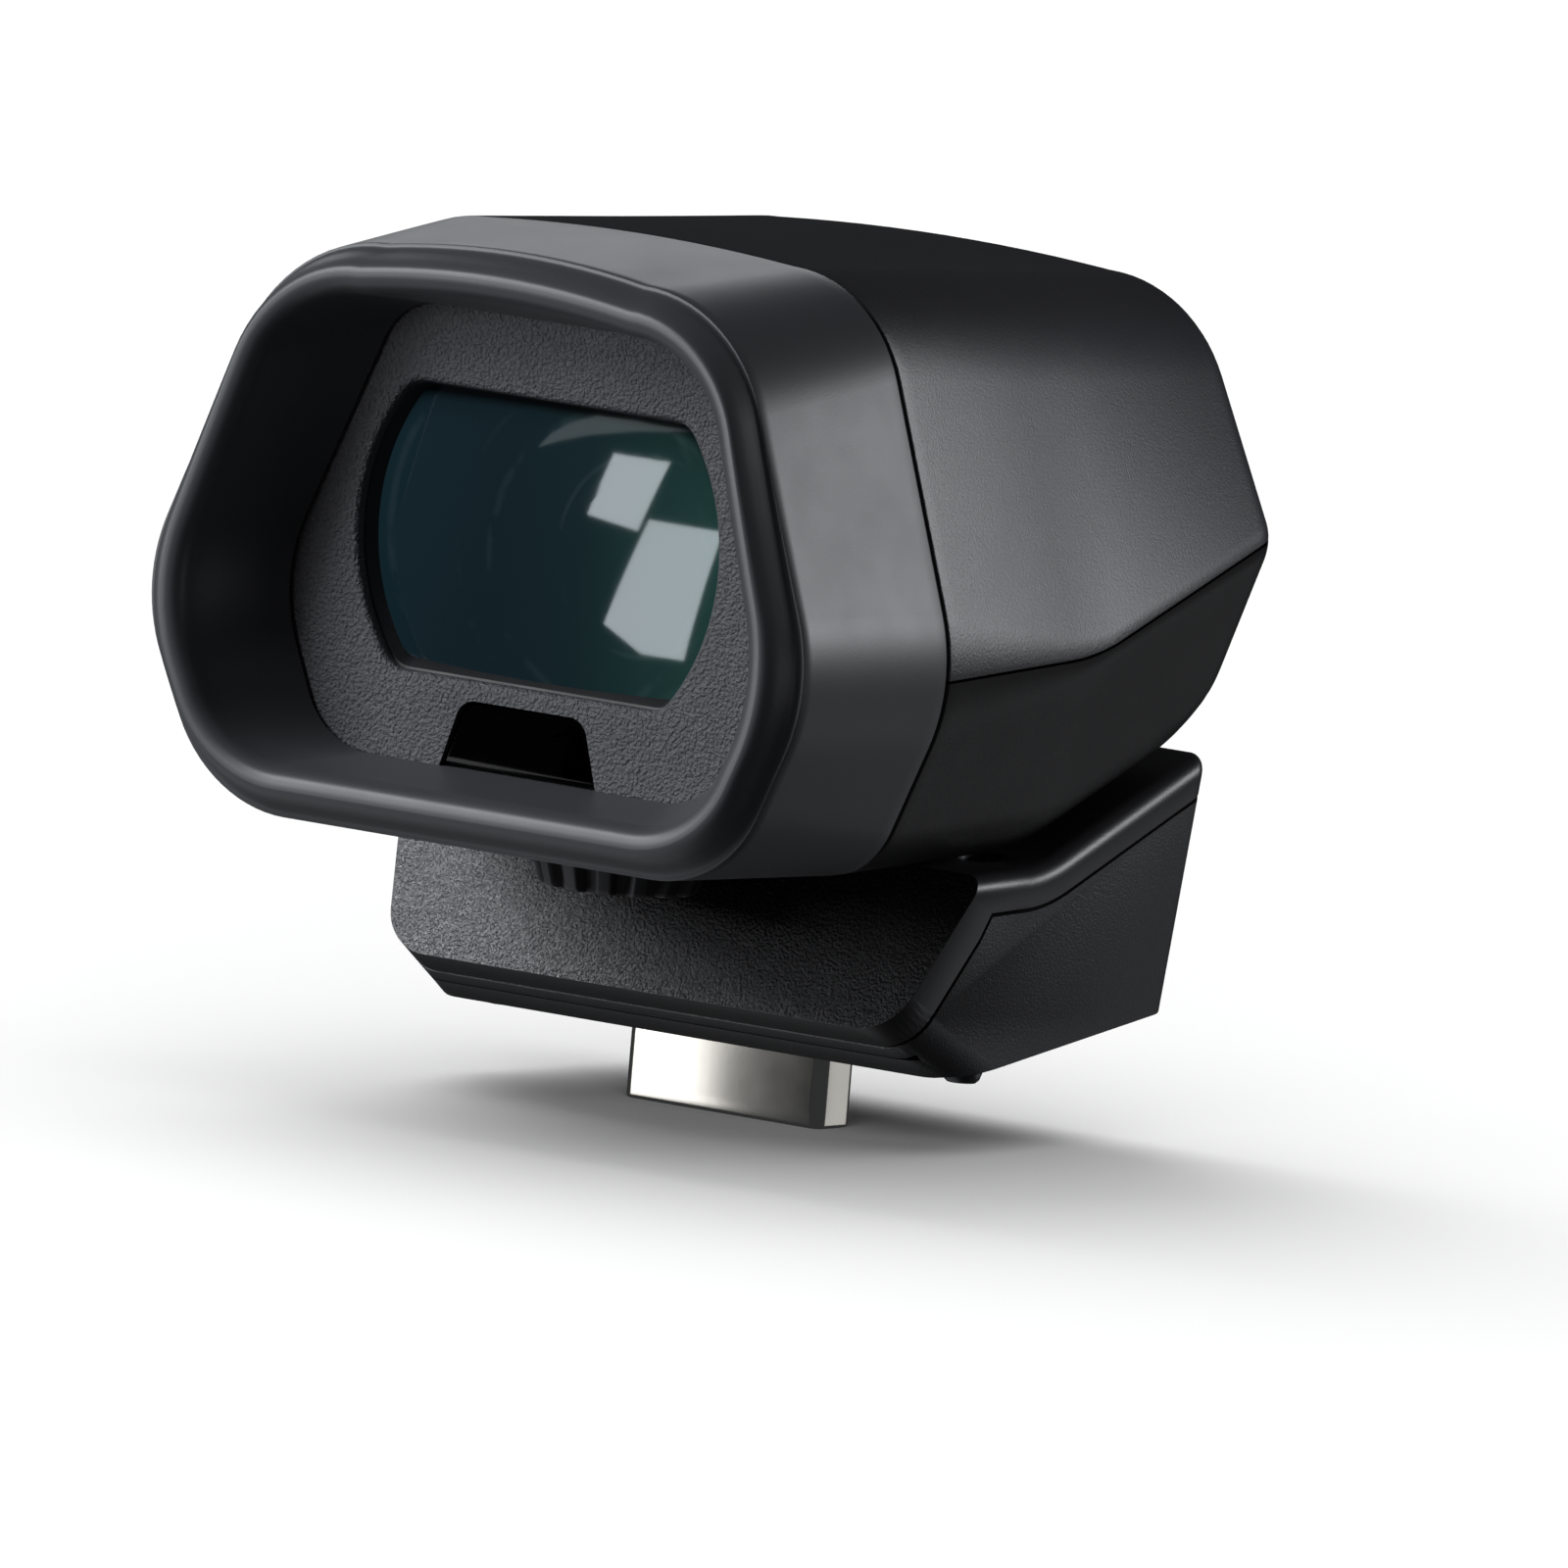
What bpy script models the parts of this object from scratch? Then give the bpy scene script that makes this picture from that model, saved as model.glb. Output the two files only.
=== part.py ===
"""Electronic viewfinder that plugs into the top of a camera, in metres, Z up.

The origin is on the underside of the base, on the centre line of the plug. The plug points down, the
eyepiece faces -Y and X runs across. Sizes called depth are measured back from the plane of the eyecup's
lip, and sizes called rise from the optical axis.
"""

import math

import bmesh
import bpy
from mathutils import Vector

MM = 0.001

# Height of the optical axis over the underside of the base at the plug
AXIS_HEIGHT = 36.4 * MM

# General clearances and cutting overrun
FIT_GAP = 0.3 * MM
OVERRUN = 6.0 * MM

# Outline where the eyecup meets the shells
SEAM_DEPTH = 17.0 * MM
SEAM_MID_HALF = 31.45 * MM
SEAM_TOP_TUCK = 10.05 * MM
SEAM_BOTTOM_TUCK = 6.35 * MM
SEAM_TOP_HALF = SEAM_MID_HALF - SEAM_TOP_TUCK
SEAM_BOTTOM_HALF = SEAM_MID_HALF - SEAM_BOTTOM_TUCK
SEAM_TOP_RISE = 21.75 * MM
SEAM_MID_RISE = -6.6 * MM
SEAM_BOTTOM_RISE = -21.9 * MM
SEAM_TOP_ROUND = 10.7 * MM
SEAM_MID_ROUND = 14.0 * MM
SEAM_BOTTOM_ROUND = 6.4 * MM
CROWN = 0.6 * MM

# Outline of the eyecup at its lip, whose top and bottom stand back behind its sides
LIP_TOP_TUCK = 1.1 * MM
LIP_MID_TUCK = 0.95 * MM
LIP_BOTTOM_TUCK = 1.7 * MM
LIP_TOP_HALF = SEAM_TOP_HALF - LIP_TOP_TUCK
LIP_MID_HALF = SEAM_MID_HALF - LIP_MID_TUCK
LIP_BOTTOM_HALF = SEAM_BOTTOM_HALF - LIP_BOTTOM_TUCK
LIP_TOP_RISE = 20.8 * MM
LIP_MID_RISE = -6.55 * MM
LIP_BOTTOM_RISE = -22.15 * MM
LIP_TOP_ROUND = 12.6 * MM
LIP_MID_ROUND = 13.2 * MM
LIP_BOTTOM_ROUND = 10.6 * MM
LIP_CROWN = 0.9 * MM
LIP_BOW = 1.1 * MM

# Outline of the head at its back, before the edges are rounded
REAR_TOP_SPREAD = 0.8 * MM
REAR_MID_TUCK = 0.35 * MM
REAR_BOTTOM_TUCK = 0.8 * MM
REAR_TOP_HALF = SEAM_TOP_HALF + REAR_TOP_SPREAD
REAR_MID_HALF = SEAM_MID_HALF - REAR_MID_TUCK
REAR_BOTTOM_HALF = SEAM_BOTTOM_HALF - REAR_BOTTOM_TUCK
REAR_TOP_RISE = 20.1 * MM
REAR_MID_RISE = 2.6 * MM
REAR_BOTTOM_RISE = -16.2 * MM
REAR_TOP_ROUND = 11.5 * MM
REAR_MID_ROUND = 3.7 * MM
REAR_EDGE_ROUND = 2.0 * MM

# Parting line of the two shells
KINK_DEPTH = 35.0 * MM
KINK_DROP = 1.2 * MM
KINK_ROUND = 3.0 * MM
PARTING_GAP = 0.3 * MM

# Hinge, and the round at the bottom of the back, which is centred on it
HINGE_DEPTH = 48.4 * MM
HINGE_RISE = -7.6 * MM
HINGE_ROUND = 8.6 * MM
FLAT_ANGLE = math.radians(2.4)
RAMP_ANGLE = math.radians(21.6)
SHELL_WALL = 1.8 * MM

# Eyecup: a low ridge at the edge of the lip, a groove, and a bead that stands proud of both
LIP_EDGE_DEPTH = 0.4 * MM
BEAD_PROUD = 2.3 * MM
BEAD_WIDTH = 1.6 * MM
BEAD_TOP_TUCK = 1.0 * MM
BEAD_MID_TUCK = 3.3 * MM
BEAD_BOTTOM_TUCK = 2.0 * MM
BEAD_TOP_HALF = LIP_TOP_HALF - BEAD_TOP_TUCK
BEAD_MID_HALF = LIP_MID_HALF - BEAD_MID_TUCK
BEAD_BOTTOM_HALF = LIP_BOTTOM_HALF - BEAD_BOTTOM_TUCK
BEAD_TOP_DROP = 2.2 * MM
BEAD_MID_DROP = 0.3 * MM
BEAD_BOTTOM_LIFT = 2.4 * MM
BEAD_TOP_ROUND = 10.6 * MM
BEAD_MID_ROUND = 16.0 * MM
BEAD_BOTTOM_ROUND = 9.6 * MM
WELL_TOP_TUCK = 5.7 * MM
WELL_MID_TUCK = 4.6 * MM
WELL_BOTTOM_TUCK = 4.0 * MM
WELL_TOP_HALF = BEAD_TOP_HALF - WELL_TOP_TUCK
WELL_MID_HALF = BEAD_MID_HALF - WELL_MID_TUCK
WELL_BOTTOM_HALF = BEAD_BOTTOM_HALF - WELL_BOTTOM_TUCK
WELL_TOP_RISE = 16.2 * MM
WELL_MID_RISE = -5.4 * MM
WELL_BOTTOM_RISE = -17.2 * MM
WELL_ROUND = 3.6 * MM
WELL_BOTTOM_ROUND = 5.2 * MM
SKIRT_WALL = 1.8 * MM

# Bezel, window and eye lens
BEZEL_DEPTH = 7.3 * MM
BEZEL_THICK = 2.2 * MM
WINDOW_RADIUS = 16.15 * MM
WINDOW_HALF_HEIGHT = 10.6 * MM
LENS_LAP = 0.9 * MM
LENS_EDGE = 2.0 * MM
LENS_CROWN = 1.5 * MM

# Sensor behind its own window at the bottom of the bezel
SENSOR_TOP_RISE = -12.4 * MM
SENSOR_BOTTOM_RISE = -17.1 * MM
SENSOR_TOP_HALF = 5.4 * MM
SENSOR_BOTTOM_HALF = 6.9 * MM
SENSOR_CORNER = 1.2 * MM
SENSOR_THICK = 1.8 * MM
SENSOR_SINK = 0.2 * MM
SENSOR_CHIP_HALF = 2.4 * MM
SENSOR_CHIP_HEIGHT = 2.8 * MM
SENSOR_BOARD_THICK = 1.0 * MM

# Frame that carries the bezel, the lens and the eyecup
FRAME_WALL = 1.6 * MM
FRAME_PLATE = 2.2 * MM
FRAME_LAP = 3.0 * MM

# Lens guide, and the carriage that the focus knob moves
GUIDE_RADIUS = 15.0 * MM
GUIDE_WALL = 1.4 * MM
GUIDE_FLANGE = 1.5 * MM
GUIDE_DEPTH = 15.3 * MM
GUIDE_END_SETBACK = 14.9 * MM
GUIDE_END_DEPTH = HINGE_DEPTH - GUIDE_END_SETBACK
CARRIAGE_WALL = 1.45 * MM
KNOB_SETBACK = 4.0 * MM
KNOB_DEPTH = SEAM_DEPTH + KNOB_SETBACK
CARRIAGE_LEAD = 2.4 * MM
CARRIAGE_DEPTH = KNOB_DEPTH - CARRIAGE_LEAD
CARRIAGE_LENGTH = 9.0 * MM
INNER_LENS_EDGE = 1.6 * MM
INNER_LENS_CROWN = 1.4 * MM
INNER_LENS_SET = 6.0 * MM

# Focus knob, whose eccentric pin moves the carriage
KNOB_RADIUS = 6.75 * MM
KNOB_FOOT_RADIUS = 5.95 * MM
KNOB_HEIGHT = 3.3 * MM
KNOB_LUG = 1.0 * MM
KNOB_LUGS = 14
KNOB_SHAFT_RADIUS = 2.7 * MM
KNOB_GROOVE = 0.5 * MM
KNOB_CLIP_RADIUS = 3.6 * MM
KNOB_CLIP_THICK = 0.6 * MM
KNOB_RUN_GAP = 0.6 * MM
PIN_RADIUS = 0.9 * MM
PIN_THROW = 1.6 * MM
PIN_REACH = 0.9 * MM
SLOT_SIDE_GAP = 0.25 * MM

# Display behind the lenses
DISPLAY_GAP = 0.3 * MM
HOLDER_THICK = 2.2 * MM
HOLDER_HALF_WIDTH = 14.5 * MM
HOLDER_HALF_HEIGHT = 10.5 * MM
SCREEN_HALF_WIDTH = 7.9 * MM
SCREEN_HALF_HEIGHT = 4.6 * MM
PANEL_MARGIN = 1.8 * MM
PANEL_THICK = 1.6 * MM
BOARD_HALF_WIDTH = 12.5 * MM
BOARD_DROP = 6.0 * MM
BOARD_HEIGHT = 19.0 * MM
BOARD_THICK = 1.0 * MM
CHIP_HALF = 2.7 * MM
CHIP_THICK = 0.8 * MM
RIBBON_HALF_WIDTH = 3.0 * MM
RIBBON_THICK = 0.3 * MM
RIBBON_BEND = 2.6 * MM
RIBBON_CLIMB = 3.8 * MM

# Hinge pieces
BARREL_RADIUS = 8.0 * MM
BARREL_HALF_WIDTH = 8.5 * MM
BARREL_SIDE_GAP = 0.4 * MM
SLOT_TOP_RISE = 2.0 * MM
NECK_HALF_DEPTH = 4.0 * MM
PIN_SHANK_RADIUS = 2.0 * MM
RIBBON_SLOT_HALF = 3.6 * MM
RIBBON_SLOT_DEPTH = 1.0 * MM
WASHER_RADIUS = 4.4 * MM
WASHER_THICK = 0.8 * MM
ARM_THICK = 2.0 * MM
ARM_RADIUS = 4.8 * MM
ARM_FOOT_WIDTH = 6.0 * MM
ARM_FOOT_LENGTH = 7.0 * MM
ARM_FOOT_THICK = 1.2 * MM
ARM_REACH = 18.2 * MM
ARM_FOOT_DEPTH = HINGE_DEPTH - ARM_REACH
ARM_BOSS_HEIGHT = 1.6 * MM
NUT_RADIUS = 3.4 * MM
NUT_THICK = 1.6 * MM
NUT_SIDES = 6
FOOT_HALF_WIDTH = 12.0 * MM
FOOT_THICK = 2.4 * MM
FOOT_DROP = 0.6 * MM

# Base, seen from the side and with its half-width at each corner
CRADLE_GAP = 0.6 * MM
BASE_KNOB_CLEARANCE = 2.15 * MM
BASE_FRONT_DEPTH = KNOB_DEPTH + KNOB_RADIUS + BASE_KNOB_CLEARANCE
BASE_TOP_HALF = 26.4 * MM
PANEL_LEAN = 5.4 * MM
PANEL_FOOT_DEPTH = BASE_FRONT_DEPTH - PANEL_LEAN
PANEL_FOOT_RISE = -33.7 * MM
PANEL_FOOT_HALF = 22.8 * MM
SOLE_SETBACK = 1.4 * MM
SOLE_FRONT_DEPTH = BASE_FRONT_DEPTH + SOLE_SETBACK
SOLE_FRONT_HALF = 24.3 * MM
SOLE_ANGLE = math.radians(8.4)
BASE_OVERHANG = 0.8 * MM
BASE_REAR_DEPTH = HINGE_DEPTH + HINGE_ROUND + BASE_OVERHANG
BASE_REAR_HALF = 26.1 * MM
SOLE_REAR_HALF = 23.8 * MM
BASE_EDGE_ROUND = 2.2 * MM
PANEL_CORNER_ROUND = 2.6 * MM
RAMP_FILLET = 14.0 * MM
COVER_THICK = 2.9 * MM
HOUSING_WALL = 1.7 * MM

# Plug and connector board
PLUG_SETBACK = 8.3 * MM
PLUG_DEPTH = BASE_FRONT_DEPTH + PLUG_SETBACK
PLUG_HALF_WIDTH = 8.9 * MM
PLUG_HALF_DEPTH = 2.15 * MM
PLUG_CORNER = 0.9 * MM
PLUG_DROP = 6.9 * MM
PLUG_WALL = 0.45 * MM
TONGUE_HALF_DEPTH = 0.5 * MM
TONGUE_SIDE_GAP = 1.2 * MM
TONGUE_SINK = 0.7 * MM
BOARD_RISE = 6.0 * MM
CONNECTOR_BOARD_HALF = 11.6 * MM
CONNECTOR_BOARD_FRONT = 3.2 * MM
CONNECTOR_BOARD_BACK = 5.6 * MM
PLUG_CUP_HEIGHT = 4.0 * MM

# Captive screws
CAPTIVE_INSET = 5.6 * MM
CAPTIVE_SPACING = BASE_TOP_HALF - CAPTIVE_INSET
CAPTIVE_SETBACK = 6.9 * MM
CAPTIVE_DEPTH = BASE_FRONT_DEPTH + CAPTIVE_SETBACK
CAPTIVE_RADIUS = 1.5 * MM
CAPTIVE_HEAD_RADIUS = 2.3 * MM
CAPTIVE_HEAD_HEIGHT = 2.2 * MM
CAPTIVE_SOCKET_RADIUS = 1.2 * MM
CAPTIVE_SOCKET_DEPTH = 1.3 * MM
CAPTIVE_TIP = 1.5 * MM
CAPTIVE_TUBE_WALL = 1.1 * MM
CAPTIVE_HOLE_RADIUS = 1.6 * MM

# Small screws
SCREW_RADIUS = 0.8 * MM
SCREW_HEAD_RADIUS = 1.5 * MM
SCREW_HEAD_HEIGHT = 1.0 * MM
SCREW_SOCKET_RADIUS = 0.6 * MM
SCREW_SOCKET_DEPTH = 0.6 * MM
BOSS_WALL = 1.3 * MM
SCREW_BITE = 4.0 * MM
SHELL_SCREW_CLEARANCE = 1.2 * MM
SHELL_SCREW_SPACING = GUIDE_RADIUS + SCREW_RADIUS + BOSS_WALL + SHELL_SCREW_CLEARANCE
SHELL_SCREW_FRONT_DEPTH = 25.0 * MM
SHELL_SCREW_REAR_SETBACK = 5.4 * MM
SHELL_SCREW_REAR_DEPTH = HINGE_DEPTH - SHELL_SCREW_REAR_SETBACK
SHELL_BOSS_MEET_RISE = -8.0 * MM
BASE_SCREW_FRONT_SPACING = 14.6 * MM
BASE_SCREW_FRONT_SETBACK = 1.4 * MM
BASE_SCREW_FRONT_DEPTH = PLUG_DEPTH + BASE_SCREW_FRONT_SETBACK
BASE_SCREW_REAR_SPACING = 17.6 * MM
BASE_SCREW_REAR_INSET = 6.8 * MM
BASE_SCREW_REAR_DEPTH = BASE_REAR_DEPTH - BASE_SCREW_REAR_INSET
BASE_BOSS_MEET_RISE = -28.0 * MM

# Least distance between two rings of the shells
STATION_GAP = 0.15 * MM

# Facet counts
CORNER_STEPS = 5
CROWN_STEPS = 4
ROUND_STEPS = 32
SMALL_ROUND_STEPS = 16
SCREW_STEPS = 12
HINGE_STEPS = 5
ARM_STEPS = 16
BEVEL_STEPS = 3
FILLET_STEPS = 4

# Shares used to place points between named sizes
WALL_RING_SHARES = (0.35, 0.7)
LIP_SECTION_SHARES = (
    (0.0, 0.0), (0.07, 0.3), (0.2, 0.46), (0.32, 0.47), (0.46, 0.34), (0.57, 0.12), (0.63, 0.45), (0.71, 0.75),
    (0.83, 0.93), (1.0, 1.0),
)
BEAD_SECTION_SHARES = ((0.45, 0.93), (0.8, 0.72), (1.0, 0.3))
FUNNEL_RING_SHARES = (0.5, 1.0)
LENS_RING_SHARES = (0.4, 0.75, 1.0)
ARC_LIMIT_SHARE = 0.48
ARM_SCREW_SHARE = 0.66
ARM_START_SHARE = 0.45
ARM_TURN_SHARE = 0.6

# Pieces that tilt with the head
HEAD_PIECES = (
    "eyecup", "eyepiece_bezel", "eye_lens", "sensor_window", "proximity_sensor", "sensor_board",
    "eyepiece_frame", "lens_guide", "display_holder", "display_panel", "display_board",
    "display_driver", "display_ribbon", "upper_shell", "lower_shell", "shell_screw_1",
    "shell_screw_2", "shell_screw_3", "shell_screw_4", "hinge_arm_left", "hinge_arm_right",
    "arm_screw_left", "arm_screw_right", "friction_washer_left", "friction_washer_right",
    "pin_nut_left", "pin_nut_right",
)

# Colours
BLACK_SHELL = (0.014, 0.014, 0.016)
BLACK_BASE = (0.017, 0.017, 0.019)
RUBBER = (0.035, 0.036, 0.040)
GRAINED = (0.045, 0.046, 0.050)
STEEL = (0.55, 0.55, 0.56)
NICKEL = (0.80, 0.78, 0.74)
BOARD_GREEN = (0.02, 0.10, 0.05)
GLASS_TINT = (0.04, 0.10, 0.12)


def clear_objects():
    for item in list(bpy.data.objects):
        bpy.data.objects.remove(item, do_unlink=True)


def material(name, colour, roughness=0.5, metallic=0.0):
    made = bpy.data.materials.new(name)
    made.use_nodes = True
    shader = made.node_tree.nodes["Principled BSDF"]
    shader.inputs["Base Color"].default_value = (*colour, 1.0)
    shader.inputs["Roughness"].default_value = roughness
    shader.inputs["Metallic"].default_value = metallic
    return made


def place(x, depth, rise):
    """A point of the part from its head sizes."""
    return Vector((x, depth - PLUG_DEPTH, rise + AXIS_HEIGHT))


def object_from(name, mesh_data, smooth=True):
    """An object whose faces point outwards."""
    bmesh.ops.recalc_face_normals(mesh_data, faces=mesh_data.faces)
    mesh = bpy.data.meshes.new(name)
    mesh_data.to_mesh(mesh)
    mesh_data.free()
    made = bpy.data.objects.new(name, mesh)
    bpy.context.collection.objects.link(made)
    if smooth:
        shade(made)
    return made


def shade(item):
    mesh = item.data
    mesh.shade_smooth()
    mesh.set_sharp_from_angle(angle=math.radians(32))


def combine(target, tool, operation):
    """Cut the tool from the target, or join it on, and remove the tool."""
    change = target.modifiers.new("combine", "BOOLEAN")
    change.operation = operation
    change.solver = "EXACT"
    change.object = tool
    graph = bpy.context.evaluated_depsgraph_get()
    mesh = bpy.data.meshes.new_from_object(target.evaluated_get(graph))
    target.modifiers.clear()
    target.data = mesh
    bpy.data.objects.remove(tool, do_unlink=True)


def cut(target, *tools):
    for tool in tools:
        combine(target, tool, "DIFFERENCE")
    shade(target)


def join(target, *tools):
    for tool in tools:
        combine(target, tool, "UNION")
    shade(target)


def dress(item, colour, roughness=0.5, metallic=0.0):
    item.data.materials.clear()
    item.data.materials.append(material(item.name, colour, roughness, metallic))
    return item


def loft(name, rings, closed=False):
    """A skin over rings of equal counts, with its ends filled, or run round on itself."""
    mesh_data = bmesh.new()
    rows = [[mesh_data.verts.new(point) for point in ring] for ring in rings]
    pairs = list(zip(rows, rows[1:]))
    if closed:
        pairs.append((rows[-1], rows[0]))
    for first, second in pairs:
        count = len(first)
        for i in range(count):
            after = (i + 1) % count
            mesh_data.faces.new((first[i], first[after], second[after], second[i]))
    if not closed:
        mesh_data.faces.new(rows[0])
        mesh_data.faces.new(rows[-1])
    return object_from(name, mesh_data)


def cylinder(name, centre, radius, length, axis="Z", steps=ROUND_STEPS, end_radius=None):
    """A cylinder or cone that starts at its centre point and runs along an axis."""
    last = radius if end_radius is None else end_radius
    rings = []
    for size, along in ((radius, 0.0), (last, length)):
        rings.append([centre + around(axis, size, 2 * math.pi * i / steps, along) for i in range(steps)])
    return loft(name, rings)


def around(axis, radius, angle, along):
    """A point at an angle round an axis, and some way along it."""
    first = radius * math.cos(angle)
    second = radius * math.sin(angle)
    if axis == "X":
        return Vector((along, first, second))
    if axis == "Y":
        return Vector((first, along, second))
    return Vector((first, second, along))


def turned(name, centre, profile, axis="Z", steps=ROUND_STEPS):
    """A body of revolution: the profile lists (radius, along) round a closed outline that ends on the axis."""
    mesh_data = bmesh.new()
    rows = []
    for radius, along in profile:
        if radius == 0.0:
            rows.append([mesh_data.verts.new(centre + around(axis, 0.0, 0.0, along))])
        else:
            rows.append([
                mesh_data.verts.new(centre + around(axis, radius, 2 * math.pi * i / steps, along))
                for i in range(steps)
            ])
    ring = rows if profile[0][0] == 0.0 else rows + [rows[0]]
    for first, second in zip(ring, ring[1:]):
        for i in range(steps):
            after = (i + 1) % steps
            if len(first) == 1:
                mesh_data.faces.new((first[0], second[after], second[i]))
            elif len(second) == 1:
                mesh_data.faces.new((first[i], first[after], second[0]))
            else:
                mesh_data.faces.new((first[i], first[after], second[after], second[i]))
    return object_from(name, mesh_data)


def box(name, low, high):
    mesh_data = bmesh.new()
    bmesh.ops.create_cube(mesh_data, size=1.0)
    size = high - low
    middle = (high + low) / 2
    for vertex in mesh_data.verts:
        vertex.co = Vector([vertex.co[k] * size[k] + middle[k] for k in range(3)])
    return object_from(name, mesh_data, smooth=False)


def side_prism(name, outline, half_width, middle=0.0):
    """A body cut from plate: its outline lists (depth, rise), and it runs across X."""
    rings = [[place(middle + side * half_width, depth, rise) for depth, rise in outline] for side in (-1, 1)]
    return loft(name, rings)


def front_prism(name, outline, depth, length):
    """A body whose outline lists (x, rise), running back from a depth."""
    rings = [[place(x, depth + along, rise) for x, rise in outline] for along in (0.0, length)]
    return loft(name, rings)


def blend(low, high, share):
    return low + (high - low) * share


def inset(corners, distance):
    """The corners of a convex outline, counter-clockwise, after every side moves inwards."""
    moved = []
    count = len(corners)
    for i in range(count):
        before = Vector(corners[i - 1])
        here = Vector(corners[i])
        after = Vector(corners[(i + 1) % count])
        arriving = (here - before).normalized()
        leaving = (after - here).normalized()
        first = Vector((-arriving.y, arriving.x))
        second = Vector((-leaving.y, leaving.x))
        moved.append(here + (first + second) * (distance / (1.0 + first.dot(second))))
    return moved


def corner_arc(before, here, after, radius, steps):
    """The arc that rounds one corner, kept within half of each side."""
    arriving = (here - before).normalized()
    leaving = (after - here).normalized()
    turn = math.atan2(arriving.cross(leaving), arriving.dot(leaving))
    half = math.tan(abs(turn) / 2)
    shorter = min((here - before).length, (after - here).length)
    reach = min(radius * half, shorter * ARC_LIMIT_SHARE)
    real = reach / half
    side = math.copysign(1.0, turn)
    normal = Vector((-arriving.y, arriving.x)) * side
    centre = here - arriving * reach + normal * real
    points = []
    for i in range(steps + 1):
        angle = turn * i / steps
        arm = -normal * real
        points.append(centre + Vector((
            arm.x * math.cos(angle) - arm.y * math.sin(angle),
            arm.x * math.sin(angle) + arm.y * math.cos(angle),
        )))
    return points


def six_corners(top, middle, bottom):
    """Corners of a symmetric outline, counter-clockwise from the right-hand middle."""
    right = [Vector(middle), Vector(top)]
    left = [Vector((-top[0], top[1])), Vector((-middle[0], middle[1]))]
    return right + left + [Vector((-bottom[0], bottom[1])), Vector(bottom)]


def six_rounds(top, middle, bottom):
    return [middle, top, top, middle, bottom, bottom]


def rounded_ring(corners, radii, crown=0.0):
    """The outline with rounded corners and a slightly domed top."""
    points = []
    count = len(corners)
    for i in range(count):
        arc = corner_arc(corners[i - 1], corners[i], corners[(i + 1) % count], radii[i], CORNER_STEPS)
        points.extend(arc)
        if i == 1:
            left = corner_arc(corners[1], corners[2], corners[3], radii[2], CORNER_STEPS)[0]
            for k in range(1, CROWN_STEPS):
                share = k / CROWN_STEPS
                point = arc[-1].lerp(left, share)
                points.append(point + Vector((0.0, crown * 4 * share * (1 - share))))
    return points


def at_depth(ring, depth):
    return [place(x, depth, rise) for x, rise in ring]


def mixed(first, second, share):
    return [a.lerp(b, share) for a, b in zip(first, second)]


def cup_outline(depth, wall=0.0):
    """Outline of the eyecup between its lip and the seam, moved inwards by a wall."""
    share = (depth - LIP_EDGE_DEPTH) / (SEAM_DEPTH - LIP_EDGE_DEPTH)
    top = (blend(LIP_TOP_HALF, SEAM_TOP_HALF, share), blend(LIP_TOP_RISE, SEAM_TOP_RISE, share))
    middle = (blend(LIP_MID_HALF, SEAM_MID_HALF, share), blend(LIP_MID_RISE, SEAM_MID_RISE, share))
    bottom = (
        blend(LIP_BOTTOM_HALF, SEAM_BOTTOM_HALF, share),
        blend(LIP_BOTTOM_RISE, SEAM_BOTTOM_RISE, share),
    )
    rounds = six_rounds(
        blend(LIP_TOP_ROUND, SEAM_TOP_ROUND, share) - wall,
        blend(LIP_MID_ROUND, SEAM_MID_ROUND, share) - wall,
        blend(LIP_BOTTOM_ROUND, SEAM_BOTTOM_ROUND, share) - wall,
    )
    return rounded_ring(inset(six_corners(top, middle, bottom), wall), rounds, blend(LIP_CROWN, CROWN, share))


def bead_outline(wall=0.0):
    """The crest of the bead, moved inwards by a wall."""
    corners = six_corners(
        (BEAD_TOP_HALF, LIP_TOP_RISE - BEAD_TOP_DROP),
        (BEAD_MID_HALF, LIP_MID_RISE - BEAD_MID_DROP),
        (BEAD_BOTTOM_HALF, LIP_BOTTOM_RISE + BEAD_BOTTOM_LIFT),
    )
    rounds = six_rounds(BEAD_TOP_ROUND - wall, BEAD_MID_ROUND - wall, BEAD_BOTTOM_ROUND - wall)
    return rounded_ring(inset(corners, wall), rounds, LIP_CROWN)


def bowed(ring, depth, share=1.0):
    """A ring at a depth, bowed so that its top and bottom stand back by a share of the lip's bow."""
    points = []
    for x, rise in ring:
        height = (LIP_TOP_RISE if rise > LIP_MID_RISE else LIP_BOTTOM_RISE) - LIP_MID_RISE
        reach = (rise - LIP_MID_RISE) / height
        points.append(place(x, depth + LIP_BOW * share * reach * reach, rise))
    return points


def flat_rise(depth, wall=0.0):
    """Underside of the head ahead of the ramp."""
    return SEAM_BOTTOM_RISE + (depth - SEAM_DEPTH) * math.tan(FLAT_ANGLE) + wall / math.cos(FLAT_ANGLE)


def ramp_rise(depth, wall=0.0):
    """Underside of the head on the ramp, which runs tangent to the round about the hinge."""
    radius = HINGE_ROUND - wall
    return HINGE_RISE - radius / math.cos(RAMP_ANGLE) + (depth - HINGE_DEPTH) * math.tan(RAMP_ANGLE)


def ramp_start(wall=0.0):
    """Depth where the flat underside meets the ramp."""
    spread = math.tan(RAMP_ANGLE) - math.tan(FLAT_ANGLE)
    return SEAM_DEPTH + (flat_rise(SEAM_DEPTH, wall) - ramp_rise(SEAM_DEPTH, wall)) / spread


def round_start(wall=0.0):
    return HINGE_DEPTH + (HINGE_ROUND - wall) * math.sin(RAMP_ANGLE)


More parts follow.
